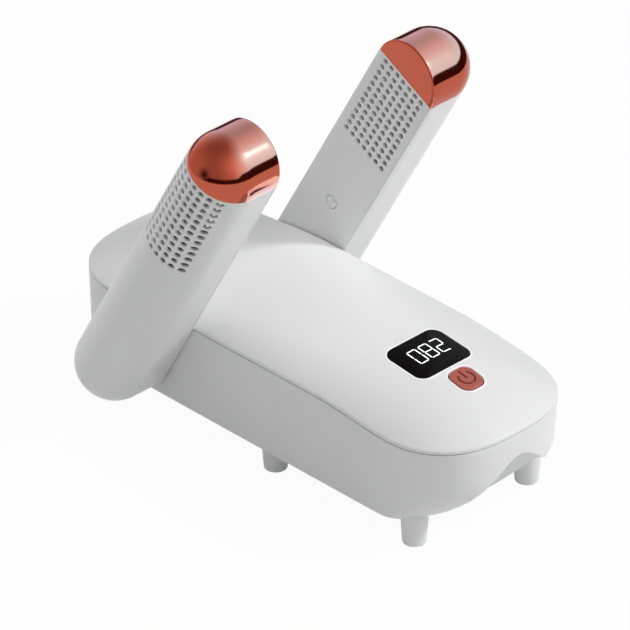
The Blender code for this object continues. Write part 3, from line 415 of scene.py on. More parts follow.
def circuit_board():
    finish = Finish("board_green")
    weave = finish.noise(700.0, 2.0)
    tracks = finish.node("ShaderNodeTexVoronoi", {"feature": "DISTANCE_TO_EDGE"},
                         {"Vector": finish.place, "Scale": 160.0})
    return finish.surface(Base_Color=finish.between(tracks * 6.0, (0.05, 0.22, 0.09), (0.02, 0.12, 0.05)),
                          Roughness=weave * 0.15 + 0.35)


BOARD = circuit_board()


def heater_resin():
    finish = Finish("heater_resin")
    flakes = finish.noise(420.0, 4.0)
    return finish.surface(Base_Color=finish.between(flakes, (0.24, 0.17, 0.10), (0.36, 0.27, 0.17)),
                          Roughness=flakes * 0.2 + 0.5, Normal=finish.bump(flakes, 0.00003, 0.4))


RESIN = heater_resin()
print("metals, glass and boards made")

# %% [markdown]
# ## The lid
# The lid is a shallow dome with a short skirt and a small round on its edge, which catches a thin line
# of light. It could be a subdivided box, but a loft that follows the rule exactly keeps the window and
# the button flush with it. The two openings are cut through afterwards.

# %% Lid
LID_EDGE = 0.0006


def dome_ring(share, rise):
    x = OUTLINE[:, 0] * HALF_WIDTH * share
    y = OUTLINE[:, 1] + OUTLINE[:, 2] * END_DEPTH * share
    return np.stack([x, y, rim_height(y) + rise], axis=1)


def lid_rings():
    rings = [base_ring(0.0002, lambda y: rim_height(y) - SKIRT),
             base_ring(0.0, lambda y: rim_height(y) - SKIRT + 0.0002),
             base_ring(0.0, lambda y: rim_height(y) - LID_EDGE)]
    last = 1 - 1.1 * LID_EDGE / HALF_WIDTH
    top = CROWN * (1 - last ** CROWN_POWER)
    for step in np.linspace(0, 1, 7)[1:]:
        share = (1 - step) ** 2 + 2 * step * (1 - step) + last * step ** 2
        rise = -LID_EDGE * (1 - step) ** 2 + top * step ** 2
        rings.append(dome_ring(share, rise))
    for share in last * (1 - np.arange(1, 45) / 44):
        rings.append(dome_ring(share, CROWN * (1 - share ** CROWN_POWER)))
    return rings


def rounded_outline(width, length, corner, y, steps=12):
    points = []
    for quarter in range(4):
        side_x = 1 if quarter in (0, 3) else -1
        side_y = 1 if quarter in (0, 1) else -1
        for angle in np.linspace(quarter, quarter + 1, steps + 1) * np.pi / 2:
            points.append((side_x * (width / 2 - corner) + corner * math.cos(angle),
                           y + side_y * (length / 2 - corner) + corner * math.sin(angle)))
    return np.array(points)


def prism(name, outline, low, high):
    rings = [[(x, y, z) for x, y in outline] for z in (low, high)]
    return loft(name, rings, start_cap=True, end_cap=True)


DISPLAY = {"width": 0.039, "length": 0.0305, "corner": 0.0065, "y": -0.0805}
BUTTON = {"width": 0.0165, "length": 0.0175, "corner": 0.006, "y": -0.108}


def grown(shape, by):
    return {"width": shape["width"] + 2 * by, "length": shape["length"] + 2 * by,
            "corner": shape["corner"] + by, "y": shape["y"]}


RIM_OUT = 0.0013
lid = shown("lid", loft("lid", lid_rings(), inside=(0, 0, 0.04)))
thicken(lid, WALL)
for shape in (DISPLAY, BUTTON):
    carve(lid, prism("opening", rounded_outline(**grown(shape, RIM_OUT)), 0.06, 0.10))
dress(lid, WHITE, "base", "white_plastic", "top_cover")

# %% [markdown]
# ## Rims round the openings
# A thin bright lip frames the window and the button. Its section is a small half-round, carried round
# the opening and lifted to the lid's height at every point.

# %% Rims
def lid_rim(name, shape, finish):
    section = [(0.0, -0.0016), (0.0, -0.00005), (0.00010, 0.00012), (0.00028, 0.00020), (0.00092, 0.00020),
               (0.00116, 0.00010), (RIM_OUT - 0.00002, -0.00006), (RIM_OUT - 0.00002, -0.0016)]
    rings = []
    for out, lift in section + section[:1]:
        outline = rounded_outline(**grown(shape, out))
        rings.append(np.column_stack([outline, lid_height(outline[:, 0], outline[:, 1]) + lift]))
    piece = shown(name, loft(name, rings))
    return dress(piece, finish, "base", "white_plastic", sharp=60)


lid_rim("window_rim", DISPLAY, RIM_WHITE)
lid_rim("button_rim", BUTTON, RIM_WHITE)

# %% [markdown]
# ## Window, digits and button
# The window is a smoked pane that follows the dome. The digits behind it are seven-segment bars: one bar
# is drawn once, and Geometry Nodes set it on a point for every segment that is lit. The same tree
# places the feet later on.

# %% Window
def lid_cap(name, shape, lift, edge, depth):
    """A pane that follows the lid, with a rounded edge and a flat depth below it."""
    rings = []
    for inset, drop in ((0.0, depth), (0.0, edge), (0.1 * edge, 0.55 * edge), (0.3 * edge, 0.25 * edge),
                        (0.6 * edge, 0.06 * edge), (edge, 0.0)):
        outline = rounded_outline(**grown(shape, -inset))
        rings.append(np.column_stack([outline, lid_height(outline[:, 0], outline[:, 1]) + lift - drop]))
    inner = rounded_outline(**grown(shape, -edge))
    middle = np.array([0.0, shape["y"]])
    for share in np.linspace(1, 0, 15)[1:]:
        outline = middle + (inner - middle) * share
        rings.append(np.column_stack([outline, lid_height(outline[:, 0], outline[:, 1]) + lift]))
    return loft(name, rings, start_cap=True)


window = shown("window", lid_cap("window", grown(DISPLAY, -GAP / 3), 0.00002, 0.0003, 0.0021))
dress(window, GLASS, "base", "black_window", "display_window", sharp=60)


# %% A tree that sets a shape on points
def geometry_tree(name, inputs):
    tree = bpy.data.node_groups.new(name, "GeometryNodeTree")
    tree.interface.new_socket("Geometry", in_out="OUTPUT", socket_type="NodeSocketGeometry")
    for label, kind in inputs:
        tree.interface.new_socket(label, in_out="INPUT", socket_type=kind)
    nodes = Nodes(tree)
    source = tree.nodes.new("NodeGroupInput")
    given = {label: Value(nodes, source.outputs[label]) for label, kind in inputs}
    return nodes, given


def close_tree(nodes, result):
    sink = nodes.tree.nodes.new("NodeGroupOutput")
    nodes.tree.links.new(result.socket, sink.inputs[0])
    return nodes.tree


def run_tree(piece, tree, **values):
    """Put a tree on a piece, set its inputs by identifier and keep the mesh that it makes."""
    step = piece.modifiers.new(tree.name, "NODES")
    step.node_group = tree
    names = {item.name.replace(" ", "_").lower(): item.identifier
             for item in tree.interface.items_tree if item.in_out == "INPUT"}
    for key, value in values.items():
        step[names[key]] = value
    return settle(piece)


def make_placing_tree():
    nodes, given = geometry_tree("set_on_points", [
        ("Geometry", "NodeSocketGeometry"), ("Shape", "NodeSocketObject"), ("Finish", "NodeSocketMaterial")])
    shape = nodes.node("GeometryNodeObjectInfo", {"transform_space": "ORIGINAL"}, {"Object": given["Shape"]},
                       output="Geometry")
    turn = nodes.node("GeometryNodeInputNamedAttribute", {"data_type": "FLOAT"}, {"Name": "turn"})
    angles = nodes.node("ShaderNodeCombineXYZ", {}, {"Z": turn})
    placed = nodes.node("GeometryNodeInstanceOnPoints", {},
                        {"Points": given["Geometry"], "Instance": shape, "Rotation": angles})
    real = nodes.node("GeometryNodeRealizeInstances", {}, {"Geometry": placed})
    done = nodes.node("GeometryNodeSetMaterial", {}, {"Geometry": real, "Material": given["Finish"]})
    return close_tree(nodes, done)


PLACING = make_placing_tree()


def set_on_points(name, shape_mesh, points, finish, turns=None):
    mesh = bpy.data.meshes.new(name)
    mesh.from_pydata([tuple(point) for point in points], [], [])
    angle = mesh.attributes.new("turn", "FLOAT", "POINT")
    angle.data.foreach_set("value", [0.0] * len(points) if turns is None else turns)
    shape = shown("shape", shape_mesh)
    piece = run_tree(shown(name, mesh), PLACING, shape=shape, finish=finish)
    bpy.data.objects.remove(shape, do_unlink=True)
    return piece


print("placing tree", len(PLACING.nodes), "nodes")

# %% Digits
BAR_LENGTH, BAR_WIDTH, BAR_GAP, DIGIT_PITCH = 0.0056, 0.00066, 0.00018, 0.0081
DIGITS_X, DIGITS_Y = 0.0012, -0.0794
LIT = {"0": "abcdef", "8": "abcdefg", "2": "abged"}
BARS = {"a": (0, 2, 0), "b": (1, 1, 1), "c": (1, -1, 1), "d": (0, -2, 0), "e": (-1, -1, 1), "f": (-1, 1, 1),
        "g": (0, 0, 0)}


def bar_mesh():
    half, side = BAR_LENGTH / 2 - BAR_GAP, BAR_WIDTH / 2
    outline = [(-half, 0), (-half + side, -side), (half - side, -side), (half, 0), (half - side, side),
               (-half + side, side)]
    return prism("bar", outline, 0.0, 0.00006)


def digit_points(text):
    points, turns = [], []
    for place, figure in enumerate(text):
        middle = (place - (len(text) - 1) / 2) * DIGIT_PITCH + DIGITS_X
        for bar in LIT[figure]:
            across, up, upright = BARS[bar]
            points.append((middle + across * BAR_LENGTH / 2, DIGITS_Y + up * BAR_LENGTH / 2, 0))
            turns.append(upright * math.pi / 2)
    return points, turns


def lay_on_lid(piece, lift):
    """Raise a flat piece to the lid's height at each of its points."""
    flat = np.empty(len(piece.data.vertices) * 3)
    piece.data.vertices.foreach_get("co", flat)
    flat = flat.reshape(-1, 3)
    flat[:, 2] += lid_height(flat[:, 0], flat[:, 1]) + lift
    piece.data.vertices.foreach_set("co", flat.ravel())
    piece.data.update()


points, turns = digit_points("082")
digits = set_on_points("digits", bar_mesh(), points, DIGITS, turns)
lay_on_lid(digits, 0.00003)
dress(digits, DIGITS, "base", "black_window")

# %% [markdown]
# ## The button
# A rose-coloured key with rounded corners stands half a millimetre proud of the lid. The power mark on
# it is cut in: a round groove with an open top, and a straight groove through the opening. A glossy
# bead fills the grooves. Its darker rose is painted shade, standing in for the shade inside the grooves.

# %% Button
def groove(points, radius, steps=10):
    """A thin tube through points, to be cut out of a surface."""
    points = [Vector(point) for point in points]
    rings = []
    for i, point in enumerate(points):
        ahead = (points[min(i + 1, len(points) - 1)] - points[max(i - 1, 0)]).normalized()
        side = ahead.cross(Vector((0, 0, 1))).normalized()
        up = side.cross(ahead)
        rings.append([point + radius * (math.cos(a) * side + math.sin(a) * up)
                      for a in np.linspace(0, 2 * np.pi, steps, endpoint=False)])
    return loft("groove", rings, start_cap=True, end_cap=True)


BUTTON_GAP, BUTTON_RISE, BUTTON_EDGE, BUTTON_DEPTH = 0.0006, 0.0005, 0.0007, 0.0046
MARK_X, MARK_Y, MARK_RADIUS, MARK_WIDTH = 0.0003, -0.1081, 0.0045, 0.0013


def on_button(x, y, lift=BUTTON_RISE):
    return (x, y, float(lid_height(x, y)) + lift)


def power_mark(width, lift, short=0.0):
    """The two strokes of the mark as tubes: the open circle and the bar."""
    opening = math.radians(40) + short / MARK_RADIUS
    arc = [on_button(MARK_X + MARK_RADIUS * math.sin(a), MARK_Y + MARK_RADIUS * math.cos(a), lift)
           for a in np.linspace(opening, 2 * math.pi - opening, 48)]
    bar = [on_button(MARK_X, MARK_Y + reach, lift) for reach in np.linspace(short - 0.0004, 0.0064 - short, 12)]
    return groove(arc, width / 2), groove(bar, width / 2)


button = shown("button", lid_cap("button", grown(BUTTON, -BUTTON_GAP), BUTTON_RISE, BUTTON_EDGE, BUTTON_DEPTH))
for stroke in power_mark(MARK_WIDTH, BUTTON_RISE):
    carve(button, stroke)
stem_top = on_button(0, BUTTON["y"])[2] - 0.003
carve(button, rod("stem", 0.0022, (0, BUTTON["y"], 0.0723), (0, BUTTON["y"], stem_top)), "UNION")
dress(button, ROSE, "power_button", "rose_plastic", "power_button", sharp=40)
# The bead's darker colour is painted shade: it stands in for the shade inside the grooves.
circle, bar = power_mark(MARK_WIDTH - 0.00016, 0.00012, short=0.0001)
inlay = carve(shown("button_mark", circle), bar, "UNION")
dress(inlay, ROSE_GROOVE_SHADE, "power_button", "rose_plastic", sharp=60)

# %% [markdown]
# ## The lower shell
# The bowl under the lid has drafted walls, a rounded bottom edge that grows towards the front, and a
# finger scoop below the front rim. It is made as a solid first, then hollowed, because a scoop that is
# cut from a solid always keeps a wall behind it.

# %% Bowl rules
EDGE_SIDE, EDGE_GROWTH, EDGE_START, EDGE_RUN = 0.0045, 0.0255, 0.098, 0.045
WALL_CHAMFER = 0.0004


def bottom_edge(y):
    return EDGE_SIDE + EDGE_GROWTH * ease((-y - EDGE_START) / EDGE_RUN)


def wall_top(y):
    return rim_height(y) - SKIRT - GAP


def bowl_rings(skin, steps=10):
    rings = []
    for angle in np.linspace(0, math.pi / 2, steps + 1):
        rings.append(base_ring(
            lambda y: DRAFT + skin + (bottom_edge(y) - skin) * (1 - math.sin(angle)),
            lambda y: FLOOR + skin + (bottom_edge(y) - skin) * (1 - math.cos(angle))))
    return rings


def ridge(height):
    return np.column_stack([np.zeros(len(OUTLINE)), OUTLINE[:, 1], height(OUTLINE[:, 1])])


def wall_rings(lower, upper, steps):
    return [lower + (upper - lower) * step / steps for step in range(1, steps + 1)]


def bowl_solid():
    rings = [ridge(lambda y: np.full(len(y), FLOOR))] + bowl_rings(0.0)
    upper = base_ring(0.0, lambda y: wall_top(y) - WALL_CHAMFER)
    rings += wall_rings(rings[-1], upper, 10)
    corner = 0.3 * WALL_CHAMFER
    rings += [base_ring(corner, lambda y: wall_top(y) - corner), base_ring(WALL_CHAMFER, wall_top),
              ridge(wall_top)]
    return loft("bowl", rings)


def bowl_hollow():
    rings = [ridge(lambda y: np.full(len(y), FLOOR + WALL))] + bowl_rings(WALL)
    rings += wall_rings(rings[-1], base_ring(WALL, wall_top), 4)
    rings += [base_ring(WALL, lambda y: rim_height(y) + CROWN), ridge(lambda y: rim_height(y) + CROWN)]
    return loft("hollow", rings)


SCOOP_REACH, SCOOP_DEPTH, SCOOP_HEIGHT = 0.062, 0.0275, 0.0365
SCOOP_MIDDLE, SCOOP_SLOPE, SCOOP_ROUND = 0.0025, 0.043, 0.18


def scoop(grow, steps=72, turns=20):
    """The space of the scoop: its lip is a triangle with a rounded top, and its roof a quarter round."""
    rings = []
    back = -HALF_LENGTH + SCOOP_DEPTH + grow
    for x in np.linspace(-SCOOP_REACH, SCOOP_REACH, steps + 1):
        bell = max(1 + SCOOP_ROUND - math.hypot((x - SCOOP_MIDDLE) / SCOOP_SLOPE, SCOOP_ROUND), 0.0)
        low = FLOOR - 0.001
        top = low + grow + SCOOP_HEIGHT * bell
        side = min(abs(x) / HALF_WIDTH, 1.0)
        front = min(-STRAIGHT - END_DEPTH * (1 - side ** END_POWER) ** (1 / END_POWER), back - 2 * GAP)
        ring = [(x, -HALF_LENGTH - END_DEPTH, low - FLOOR), (x, -HALF_LENGTH - END_DEPTH, top)]
        for angle in np.linspace(0, math.pi / 2, turns + 1):
            ring.append((x, front + (back - front) * math.sin(angle), low + (top - low) * math.cos(angle)))
        ring.append((x, back, low - FLOOR))
        rings.append(ring)
    return loft("scoop", rings, start_cap=True, end_cap=True)


print("bottom edge", EDGE_SIDE, "to", EDGE_SIDE + EDGE_GROWTH)

# %% [markdown]
# The openings follow the pieces that pass through the wall: the four lid screws in their cups, the two
# hubs, the round air inlet under the blower and the mains socket at the rear.

# %% Bowl
PIVOT_Y, PIVOT_Z, FACE_X = 0.080, 0.0395, 0.0563
SCREWS = [(0.043, -0.075), (-0.043, -0.075), (0.022, 0.128), (-0.022, 0.128)]
CUP_RADIUS, WELL_BORE, SHANK_BORE, HUB_BORE = 0.0048, 0.0034, 0.0016, 0.0175
INTAKE_Y, INTAKE_BORE = -0.0222, 0.030
SOCKET_HALF_WIDTH, SOCKET_HALF_HEIGHT, SOCKET_Z = 0.0133, 0.0093, 0.036
hollow = shown("hollow", bowl_hollow())
carve(hollow, scoop(WALL))
bowl = shown("bowl", bowl_solid())
carve(bowl, scoop(0.0))
outside = bowl.data.copy()
carve(bowl, hollow.data)
bpy.data.objects.remove(hollow, do_unlink=True)
for x, y in SCREWS:
    carve(bowl, rod("cup", CUP_RADIUS, (x, y, FLOOR + 0.001), (x, y, 0.0192)), "UNION")
    carve(bowl, rod("well", WELL_BORE, (x, y, 0), (x, y, 0.0177)))
    carve(bowl, rod("shank", SHANK_BORE, (x, y, 0.017), (x, y, 0.025), 24))
carve(bowl, rod("hub_way", HUB_BORE, (-FACE_X, PIVOT_Y, PIVOT_Z), (FACE_X, PIVOT_Y, PIVOT_Z)))
carve(bowl, rod("intake", INTAKE_BORE, (0, INTAKE_Y, 0), (0, INTAKE_Y, 0.018), 96))
socket_way = [(sx * SOCKET_HALF_WIDTH, sz * SOCKET_HALF_HEIGHT + SOCKET_Z)
              for sx, sz in ((-1, -1), (1, -1), (1, 1), (-1, 1))]
carve(bowl, loft("socket_way", [[(x, y, z) for x, z in socket_way] for y in (0.118, 0.16)], True, True))
dress(bowl, WHITE, "base", "white_plastic", "base_housing")

# %% [markdown]
# ## Feet
# Six short pegs carry the base, tapered a little and rounded at the foot. One is turned on its axis, and
# the placing tree sets it under the floor at all six spots. The pegs are made too tall and then cut with
# the outside of the bowl, so that each one meets the rounded bottom edge without a gap.

# %% Feet
FEET = [(0.042, -0.1125), (-0.042, -0.1125), (0.0438, -0.0108), (-0.0438, -0.0108),
        (0.038, 0.108), (-0.038, 0.108)]
FOOT_TOP = FLOOR + 0.012
foot_profile = [(0.0, FOOT_TOP), (0.0073, FOOT_TOP), (0.0073, FLOOR), (0.00724, 0.0125), (0.0070, 0.0085),
                (0.0067, 0.0045), (0.00647, 0.0014)]
foot_profile += [(0.0054 + 0.00105 * math.cos(a), 0.00105 - 0.00105 * math.sin(a))
                 for a in np.linspace(0.1, math.pi / 2, 7)]
foot_profile += [(0.0036, 0.0), (0.0033, 0.0004), (0.0, 0.0004)]
feet = set_on_points("feet", turned("foot", foot_profile), [(x, y, 0.0) for x, y in FEET], WHITE)
carve(feet, outside)
dress(feet, WHITE, "base", "white_plastic",
      *(f"foot_{place}_{side}" for place in ("front", "middle", "rear") for side in ("right", "left")))

# %% [markdown]
# ## The perforated arms
# Each arm is a tube with one flat side, straight walls and one full round side. A swept profile gives its
# length, and the same profile, turned about the hinge line, gives its round end. The holes are a
# repeat: one square tile with a round hole in it, set on a grid by Geometry Nodes and bent on to
# the round side by the same rule as the profile. The panel is then welded into the sheet round it.

# %% Arm sizes and the hole tile
ARM_RADIUS, ARM_STRAIGHT, ARM_REACH, PITCH = 0.0217, 0.018, 0.1775, 0.005
COLUMNS, ROWS, HOLE = 7, 13, 0.00168
BAND_TOP = ARM_REACH - 0.0033 + PITCH / 2
BAND_LOW = BAND_TOP - ROWS * PITCH
BAND_SIDE = COLUMNS * PITCH / 2
TILE_STEPS = 5


def square_points(side, steps):
    """Points round a square, from one corner, with steps to a side."""
    corners = [(0.5, 0.5), (-0.5, 0.5), (-0.5, -0.5), (0.5, -0.5)]
    points = []
    for (ay, az), (by, bz) in zip(corners, corners[1:] + corners[:1]):
        for step in range(steps):
            points.append((side * (ay + (by - ay) * step / steps), side * (az + (bz - az) * step / steps)))
    return points


def holed_tile(side, radius, steps):
    """A square sheet with a round hole, in the plane of Y and Z."""
    angles = math.pi / 4 + np.arange(4 * steps) * 2 * math.pi / (4 * steps)
    border = [(0.0, y, z) for y, z in square_points(side, steps)]
    hole = [(0.0, radius * math.cos(a), radius * math.sin(a)) for a in angles]
    bm = bmesh.new()
    add_rings(bm, [border, hole])
    return bm


def make_panel_tree():
    nodes, given = geometry_tree("hole_panel", [
        ("Geometry", "NodeSocketGeometry"), ("Columns", "NodeSocketInt"), ("Rows", "NodeSocketInt"),
        ("Pitch", "NodeSocketFloat"), ("Middle", "NodeSocketFloat"), ("Round", "NodeSocketFloat"),
        ("Radius", "NodeSocketFloat"), ("Centre", "NodeSocketFloat"), ("Finish", "NodeSocketMaterial")])
    grid = nodes.node("GeometryNodeMeshGrid", {}, {
        "Size X": (given["Columns"] - 1) * given["Pitch"], "Size Y": (given["Rows"] - 1) * given["Pitch"],
        "Vertices X": given["Columns"], "Vertices Y": given["Rows"]})
    position = nodes.node("GeometryNodeInputPosition")
    split = nodes.node("ShaderNodeSeparateXYZ", {}, {"Vector": position})
    across, along = split, Value(nodes, split.socket.node.outputs["Y"])
    upright = nodes.node("ShaderNodeCombineXYZ", {}, {"Y": across, "Z": along + given["Middle"]})
    spots = nodes.node("GeometryNodeSetPosition", {}, {"Geometry": grid, "Position": upright})
    tiles = nodes.node("GeometryNodeInstanceOnPoints", {}, {"Points": spots, "Instance": given["Geometry"]})
    real = nodes.node("GeometryNodeRealizeInstances", {}, {"Geometry": tiles})
    sheet = nodes.node("GeometryNodeMergeByDistance", {}, {"Geometry": real, "Distance": 0.00001})
    place = nodes.node("GeometryNodeInputPosition")
    sideways = nodes.node("ShaderNodeSeparateXYZ", {}, {"Vector": place}, output="Y")
    bulge = (given["Radius"] * given["Radius"] - sideways * sideways) ** 0.5 + given["Centre"]
    push = nodes.node("ShaderNodeCombineXYZ", {}, {"X": bulge * given["Round"]})
    bent = nodes.node("GeometryNodeSetPosition", {}, {"Geometry": sheet, "Offset": push})
    done = nodes.node("GeometryNodeSetMaterial", {}, {"Geometry": bent, "Material": given["Finish"]})
    return close_tree(nodes, done)


PANEL = make_panel_tree()


def hole_panel(round_side):
    bm = holed_tile(PITCH, HOLE, TILE_STEPS)
    piece = shown("panel", mesh_from("panel", bm))
    run_tree(piece, PANEL, columns=COLUMNS, rows=ROWS, pitch=PITCH, middle=(BAND_TOP + BAND_LOW) / 2,
             round=float(round_side), radius=ARM_RADIUS, centre=ARM_STRAIGHT, finish=WHITE)
    mesh = piece.data
    bpy.data.objects.remove(piece, do_unlink=True)
    return mesh


print("hole panel tree", len(PANEL.nodes), "nodes", COLUMNS * ROWS, "holes to a panel")

# %% [markdown]
# ## The sheets of an arm
# The sheet round the holes shares its points with the panel, so the two weld without a seam. The flat
# side has one more hole, the well of the screw that holds the arm on its hub.

# %% Arm sheets
WELL_Z, WELL_SIDE, WELL_RADIUS = 0.0640, 3 * PITCH, 0.0040


def band_columns():
    return np.linspace(-BAND_SIDE, BAND_SIDE, COLUMNS * TILE_STEPS + 1)


def shell_columns():
    """(x, y) points across the shell, from one seam over the round side to the other."""
    first = math.acos(BAND_SIDE / ARM_RADIUS)
    flank = [(x, ARM_RADIUS) for x in (0.0021, 0.006, 0.012)]
    flank += [(ARM_STRAIGHT + ARM_RADIUS * math.sin(a), ARM_RADIUS * math.cos(a))
              for a in np.linspace(0, first, 9)[:-1]]
    middle = [(ARM_STRAIGHT + math.sqrt(ARM_RADIUS ** 2 - y ** 2), y) for y in band_columns()]
    return [(x, -y) for x, y in flank] + middle + [(x, y) for x, y in reversed(flank)]


def face_columns():
    return [(0.0, -ARM_RADIUS)] + [(0.0, y) for y in band_columns()] + [(0.0, ARM_RADIUS)]


def arm_rows():
    plain = np.linspace(0, WELL_Z - WELL_SIDE / 2, 14)[:-1]
    well = np.linspace(WELL_Z - WELL_SIDE / 2, WELL_Z + WELL_SIDE / 2, 3 * TILE_STEPS + 1)
    above = np.linspace(WELL_Z + WELL_SIDE / 2, BAND_LOW, 10)[1:-1]
    band = np.linspace(BAND_LOW, BAND_TOP, ROWS * TILE_STEPS + 1)
    return np.concatenate([plain, well, above, band, [ARM_REACH - GAP / 3]])


def arm_sheet(name, columns, round_side, well, inside):
    bm = bmesh.new()
    rows = arm_rows()
    grid = [[bm.verts.new((x, y, z)) for x, y in columns] for z in rows]
    small = 1e-5
    for i in range(len(rows) - 1):
        z = (rows[i] + rows[i + 1]) / 2
        for j in range(len(columns) - 1):
            y = (columns[j][1] + columns[j + 1][1]) / 2
            if abs(y) < BAND_SIDE - small and BAND_LOW < z < BAND_TOP:
                continue
            if well and abs(y) < WELL_SIDE / 2 - small and abs(z - WELL_Z) < WELL_SIDE / 2:
                continue
            bm.faces.new((grid[i][j], grid[i][j + 1], grid[i + 1][j + 1], grid[i + 1][j]))
    half = [(x, y) for x, y in columns if y > 0]
    turn = [[(x, y * math.cos(a), -y * math.sin(a)) for a in np.linspace(0, math.pi, 49)] for x, y in half]
    loops = add_rings(bm, turn, closed=False)
    bm.faces.new(loops[0])
    bm.from_mesh(hole_panel(round_side))
    if well:
        tile = holed_tile(WELL_SIDE, WELL_RADIUS, 3 * TILE_STEPS)
        bmesh.ops.translate(tile, verts=tile.verts, vec=(0, 0, WELL_Z))
        bm.from_mesh(mesh_from("well", tile))
    stray = [point for point in bm.verts if not point.link_faces]
    bmesh.ops.delete(bm, geom=stray, context="VERTS")
    return mesh_from(name, bm, inside)


print("sheet columns", len(shell_columns()), "and", len(face_columns()), "rows", len(arm_rows()))

# %% [markdown]
# ## Shell, face, cap and plug
# Solidify gives the sheets their wall, and a narrow bevel breaks every edge, the rims of the holes
# included. The cap is the arm's own section turned half a turn. The plug over the screw is a dished
# disc. Each arm is drawn upright at the origin and then laid into its place on the hinge.

# %% Arm pieces
ARM_TILT, ARM_BEVEL = 29, 0.00022
SHELL_WALL, FACE_WALL, CAP_WALL, CAP_EDGE, ARM_BORE = 0.0018, 0.0020, 0.0016, 0.0009, 0.0153
PLUG_DISH, PLUG_DISH_DEPTH = 0.0034, 0.0014
ARM_INSIDE = (0.02, 0, 0.09)


def arm_frame(side):
    """From the arm's own frame, Z along the arm and X outwards, to the dryer's."""
    tilt = math.radians(ARM_TILT)
    turn = Matrix.Rotation(math.pi if side < 0 else 0.0, 4, "Z") @ Matrix.Rotation(side * tilt, 4, "X")
    return Matrix.Translation((side * FACE_X, PIVOT_Y, PIVOT_Z)) @ turn


def arm_shell(name):
    piece = shown(name, arm_sheet(name, shell_columns(), 1, False, ARM_INSIDE))
    thicken(piece, SHELL_WALL)
    return soften(piece, ARM_BEVEL)


def arm_face(name):
    piece = shown(name, arm_sheet(name, face_columns(), 0, True, ARM_INSIDE))
    thicken(piece, FACE_WALL)
    soften(piece, ARM_BEVEL)
    return carve(piece, rod("hub_way", ARM_BORE, (-0.01, 0, 0), (0.01, 0, 0)))


def arm_cap(name):
    """The end of the arm: the profile of flat face, edge, wall and round side, turned half a turn."""
    profile = [(0.0, r) for r in np.linspace(0, ARM_RADIUS - CAP_EDGE, 8)]
    profile += [(CAP_EDGE - CAP_EDGE * math.cos(a), ARM_RADIUS - CAP_EDGE + CAP_EDGE * math.sin(a))
                for a in np.linspace(0, math.pi / 2, 7)[1:]]
    profile += [(x, ARM_RADIUS) for x in np.linspace(CAP_EDGE, ARM_STRAIGHT, 7)[1:]]
    profile += [(ARM_STRAIGHT + ARM_RADIUS * math.sin(a), ARM_RADIUS * math.cos(a))
                for a in np.linspace(0, math.pi / 2, 29)[1:]]
    bm = bmesh.new()
    add_rings(bm, [[(x, r * math.cos(a), ARM_REACH + r * math.sin(a)) for a in np.linspace(0, math.pi, 73)]
                   for x, r in profile], closed=False)
    piece = shown(name, mesh_from(name, bm, (ARM_STRAIGHT, 0, ARM_REACH)))
    return thicken(piece, CAP_WALL)


def screw_plug(name):
    """A press-in disc, dished like a thumb print."""
    profile = [(radius, -PLUG_DISH_DEPTH * (1 - (radius / PLUG_DISH) ** 2) ** 0.7)
               for radius in np.linspace(0, PLUG_DISH, 19)]
    profile += [(0.00360, -0.00006), (0.00366, -0.0002), (0.00366, -0.0018), (0.0, -0.0018)]
    mesh = turned(name, profile)
    mesh.transform(Matrix.Translation((0, 0, WELL_Z)) @ Matrix.Rotation(-math.pi / 2, 4, "Y"))
    return shown(name, mesh)


for side, label in ((1, "right"), (-1, "left")):
    body = f"{label}_arm"
    made = [(arm_shell(f"{label}_shell"), WHITE, "white_plastic", f"{label}_arm_shell"),
            (arm_face(f"{label}_face"), WHITE, "white_plastic", f"{label}_arm_face"),
            (arm_cap(f"{label}_cap"), COPPER, "copper_plating", f"{label}_arm_cap"),
            (screw_plug(f"{label}_plug"), WHITE, "white_plastic", f"{label}_screw_plug")]
    for piece, finish, slot, node in made:
        piece.data.transform(arm_frame(side))
        dress(piece, finish, body, slot, node, sharp=38)

# %% [markdown]
# ## Finishes for the pieces inside
# The blower, heater, boards and hubs keep their engineering shapes, which are right as they are. Each
# one gets the finish of its material slot.

# %% Carried-over pieces
FINISHES = {"white_plastic": WHITE, "copper_plating": COPPER, "rose_plastic": ROSE, "black_window": GLASS,
            "black_plastic": BLACK, "grey_nylon": GREY, "board_green": BOARD, "steel": STEEL,
            "aluminium": ALUMINIUM, "heater_resin": RESIN}
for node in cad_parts.values():
    for place in node.material_slots:
        base = place.material.name.split(".")[0] if place.material else "grey_nylon"
        place.material = FINISHES.get(base, GREY)
print("finished nodes", len(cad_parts))

# %% [markdown]
# ## Floor and light
# The dryer stands on a white floor. A small lamp on the right in front of it draws the shadows, six broad
# softboxes round it fill them, each at its own strength, and a dim sky lights the rest. The camera sees
# the floor and the sky as plain white. The lamps leave the caps out, because polished metal would
# show every softbox as a disc: light linking gives the caps surroundings of their own.

# %% Floor
FLOOR_SHARE = 0.95


def stage_material(name):
    made = bpy.data.materials.new(name)
    made.use_nodes = True
    made.node_tree.nodes.clear()
    return made, Nodes(made.node_tree)


def show_shader(made, shader, output="ShaderNodeOutputMaterial"):
    sink = made.node_tree.nodes.new(output)
    made.node_tree.links.new(shader.socket, sink.inputs["Surface"])
    return made


def seen_rays(nodes):
    """1 for the rays of the camera, of mirrors and of glass, 0 for the rest."""
    camera_ray = nodes.node("ShaderNodeLightPath", output="Is Camera Ray")
    kinds = camera_ray.socket.node.outputs
    return camera_ray + Value(nodes, kinds["Is Glossy Ray"]) + Value(nodes, kinds["Is Transmission Ray"])


def white_floor():
    """Mostly plain white to the camera, with the share left over for the shadow."""
    made, nodes = stage_material("floor_white")
    plain = nodes.node("ShaderNodeBsdfDiffuse", {}, {"Color": (0.80, 0.80, 0.80, 1.0)})
    white = nodes.node("ShaderNodeEmission", {}, {"Color": (1.0, 1.0, 1.0, 1.0), "Strength": 1.0})
    share = seen_rays(nodes) * FLOOR_SHARE
    return show_shader(made, nodes.node("ShaderNodeMixShader", {}, {0: share, 1: plain, 2: white}))


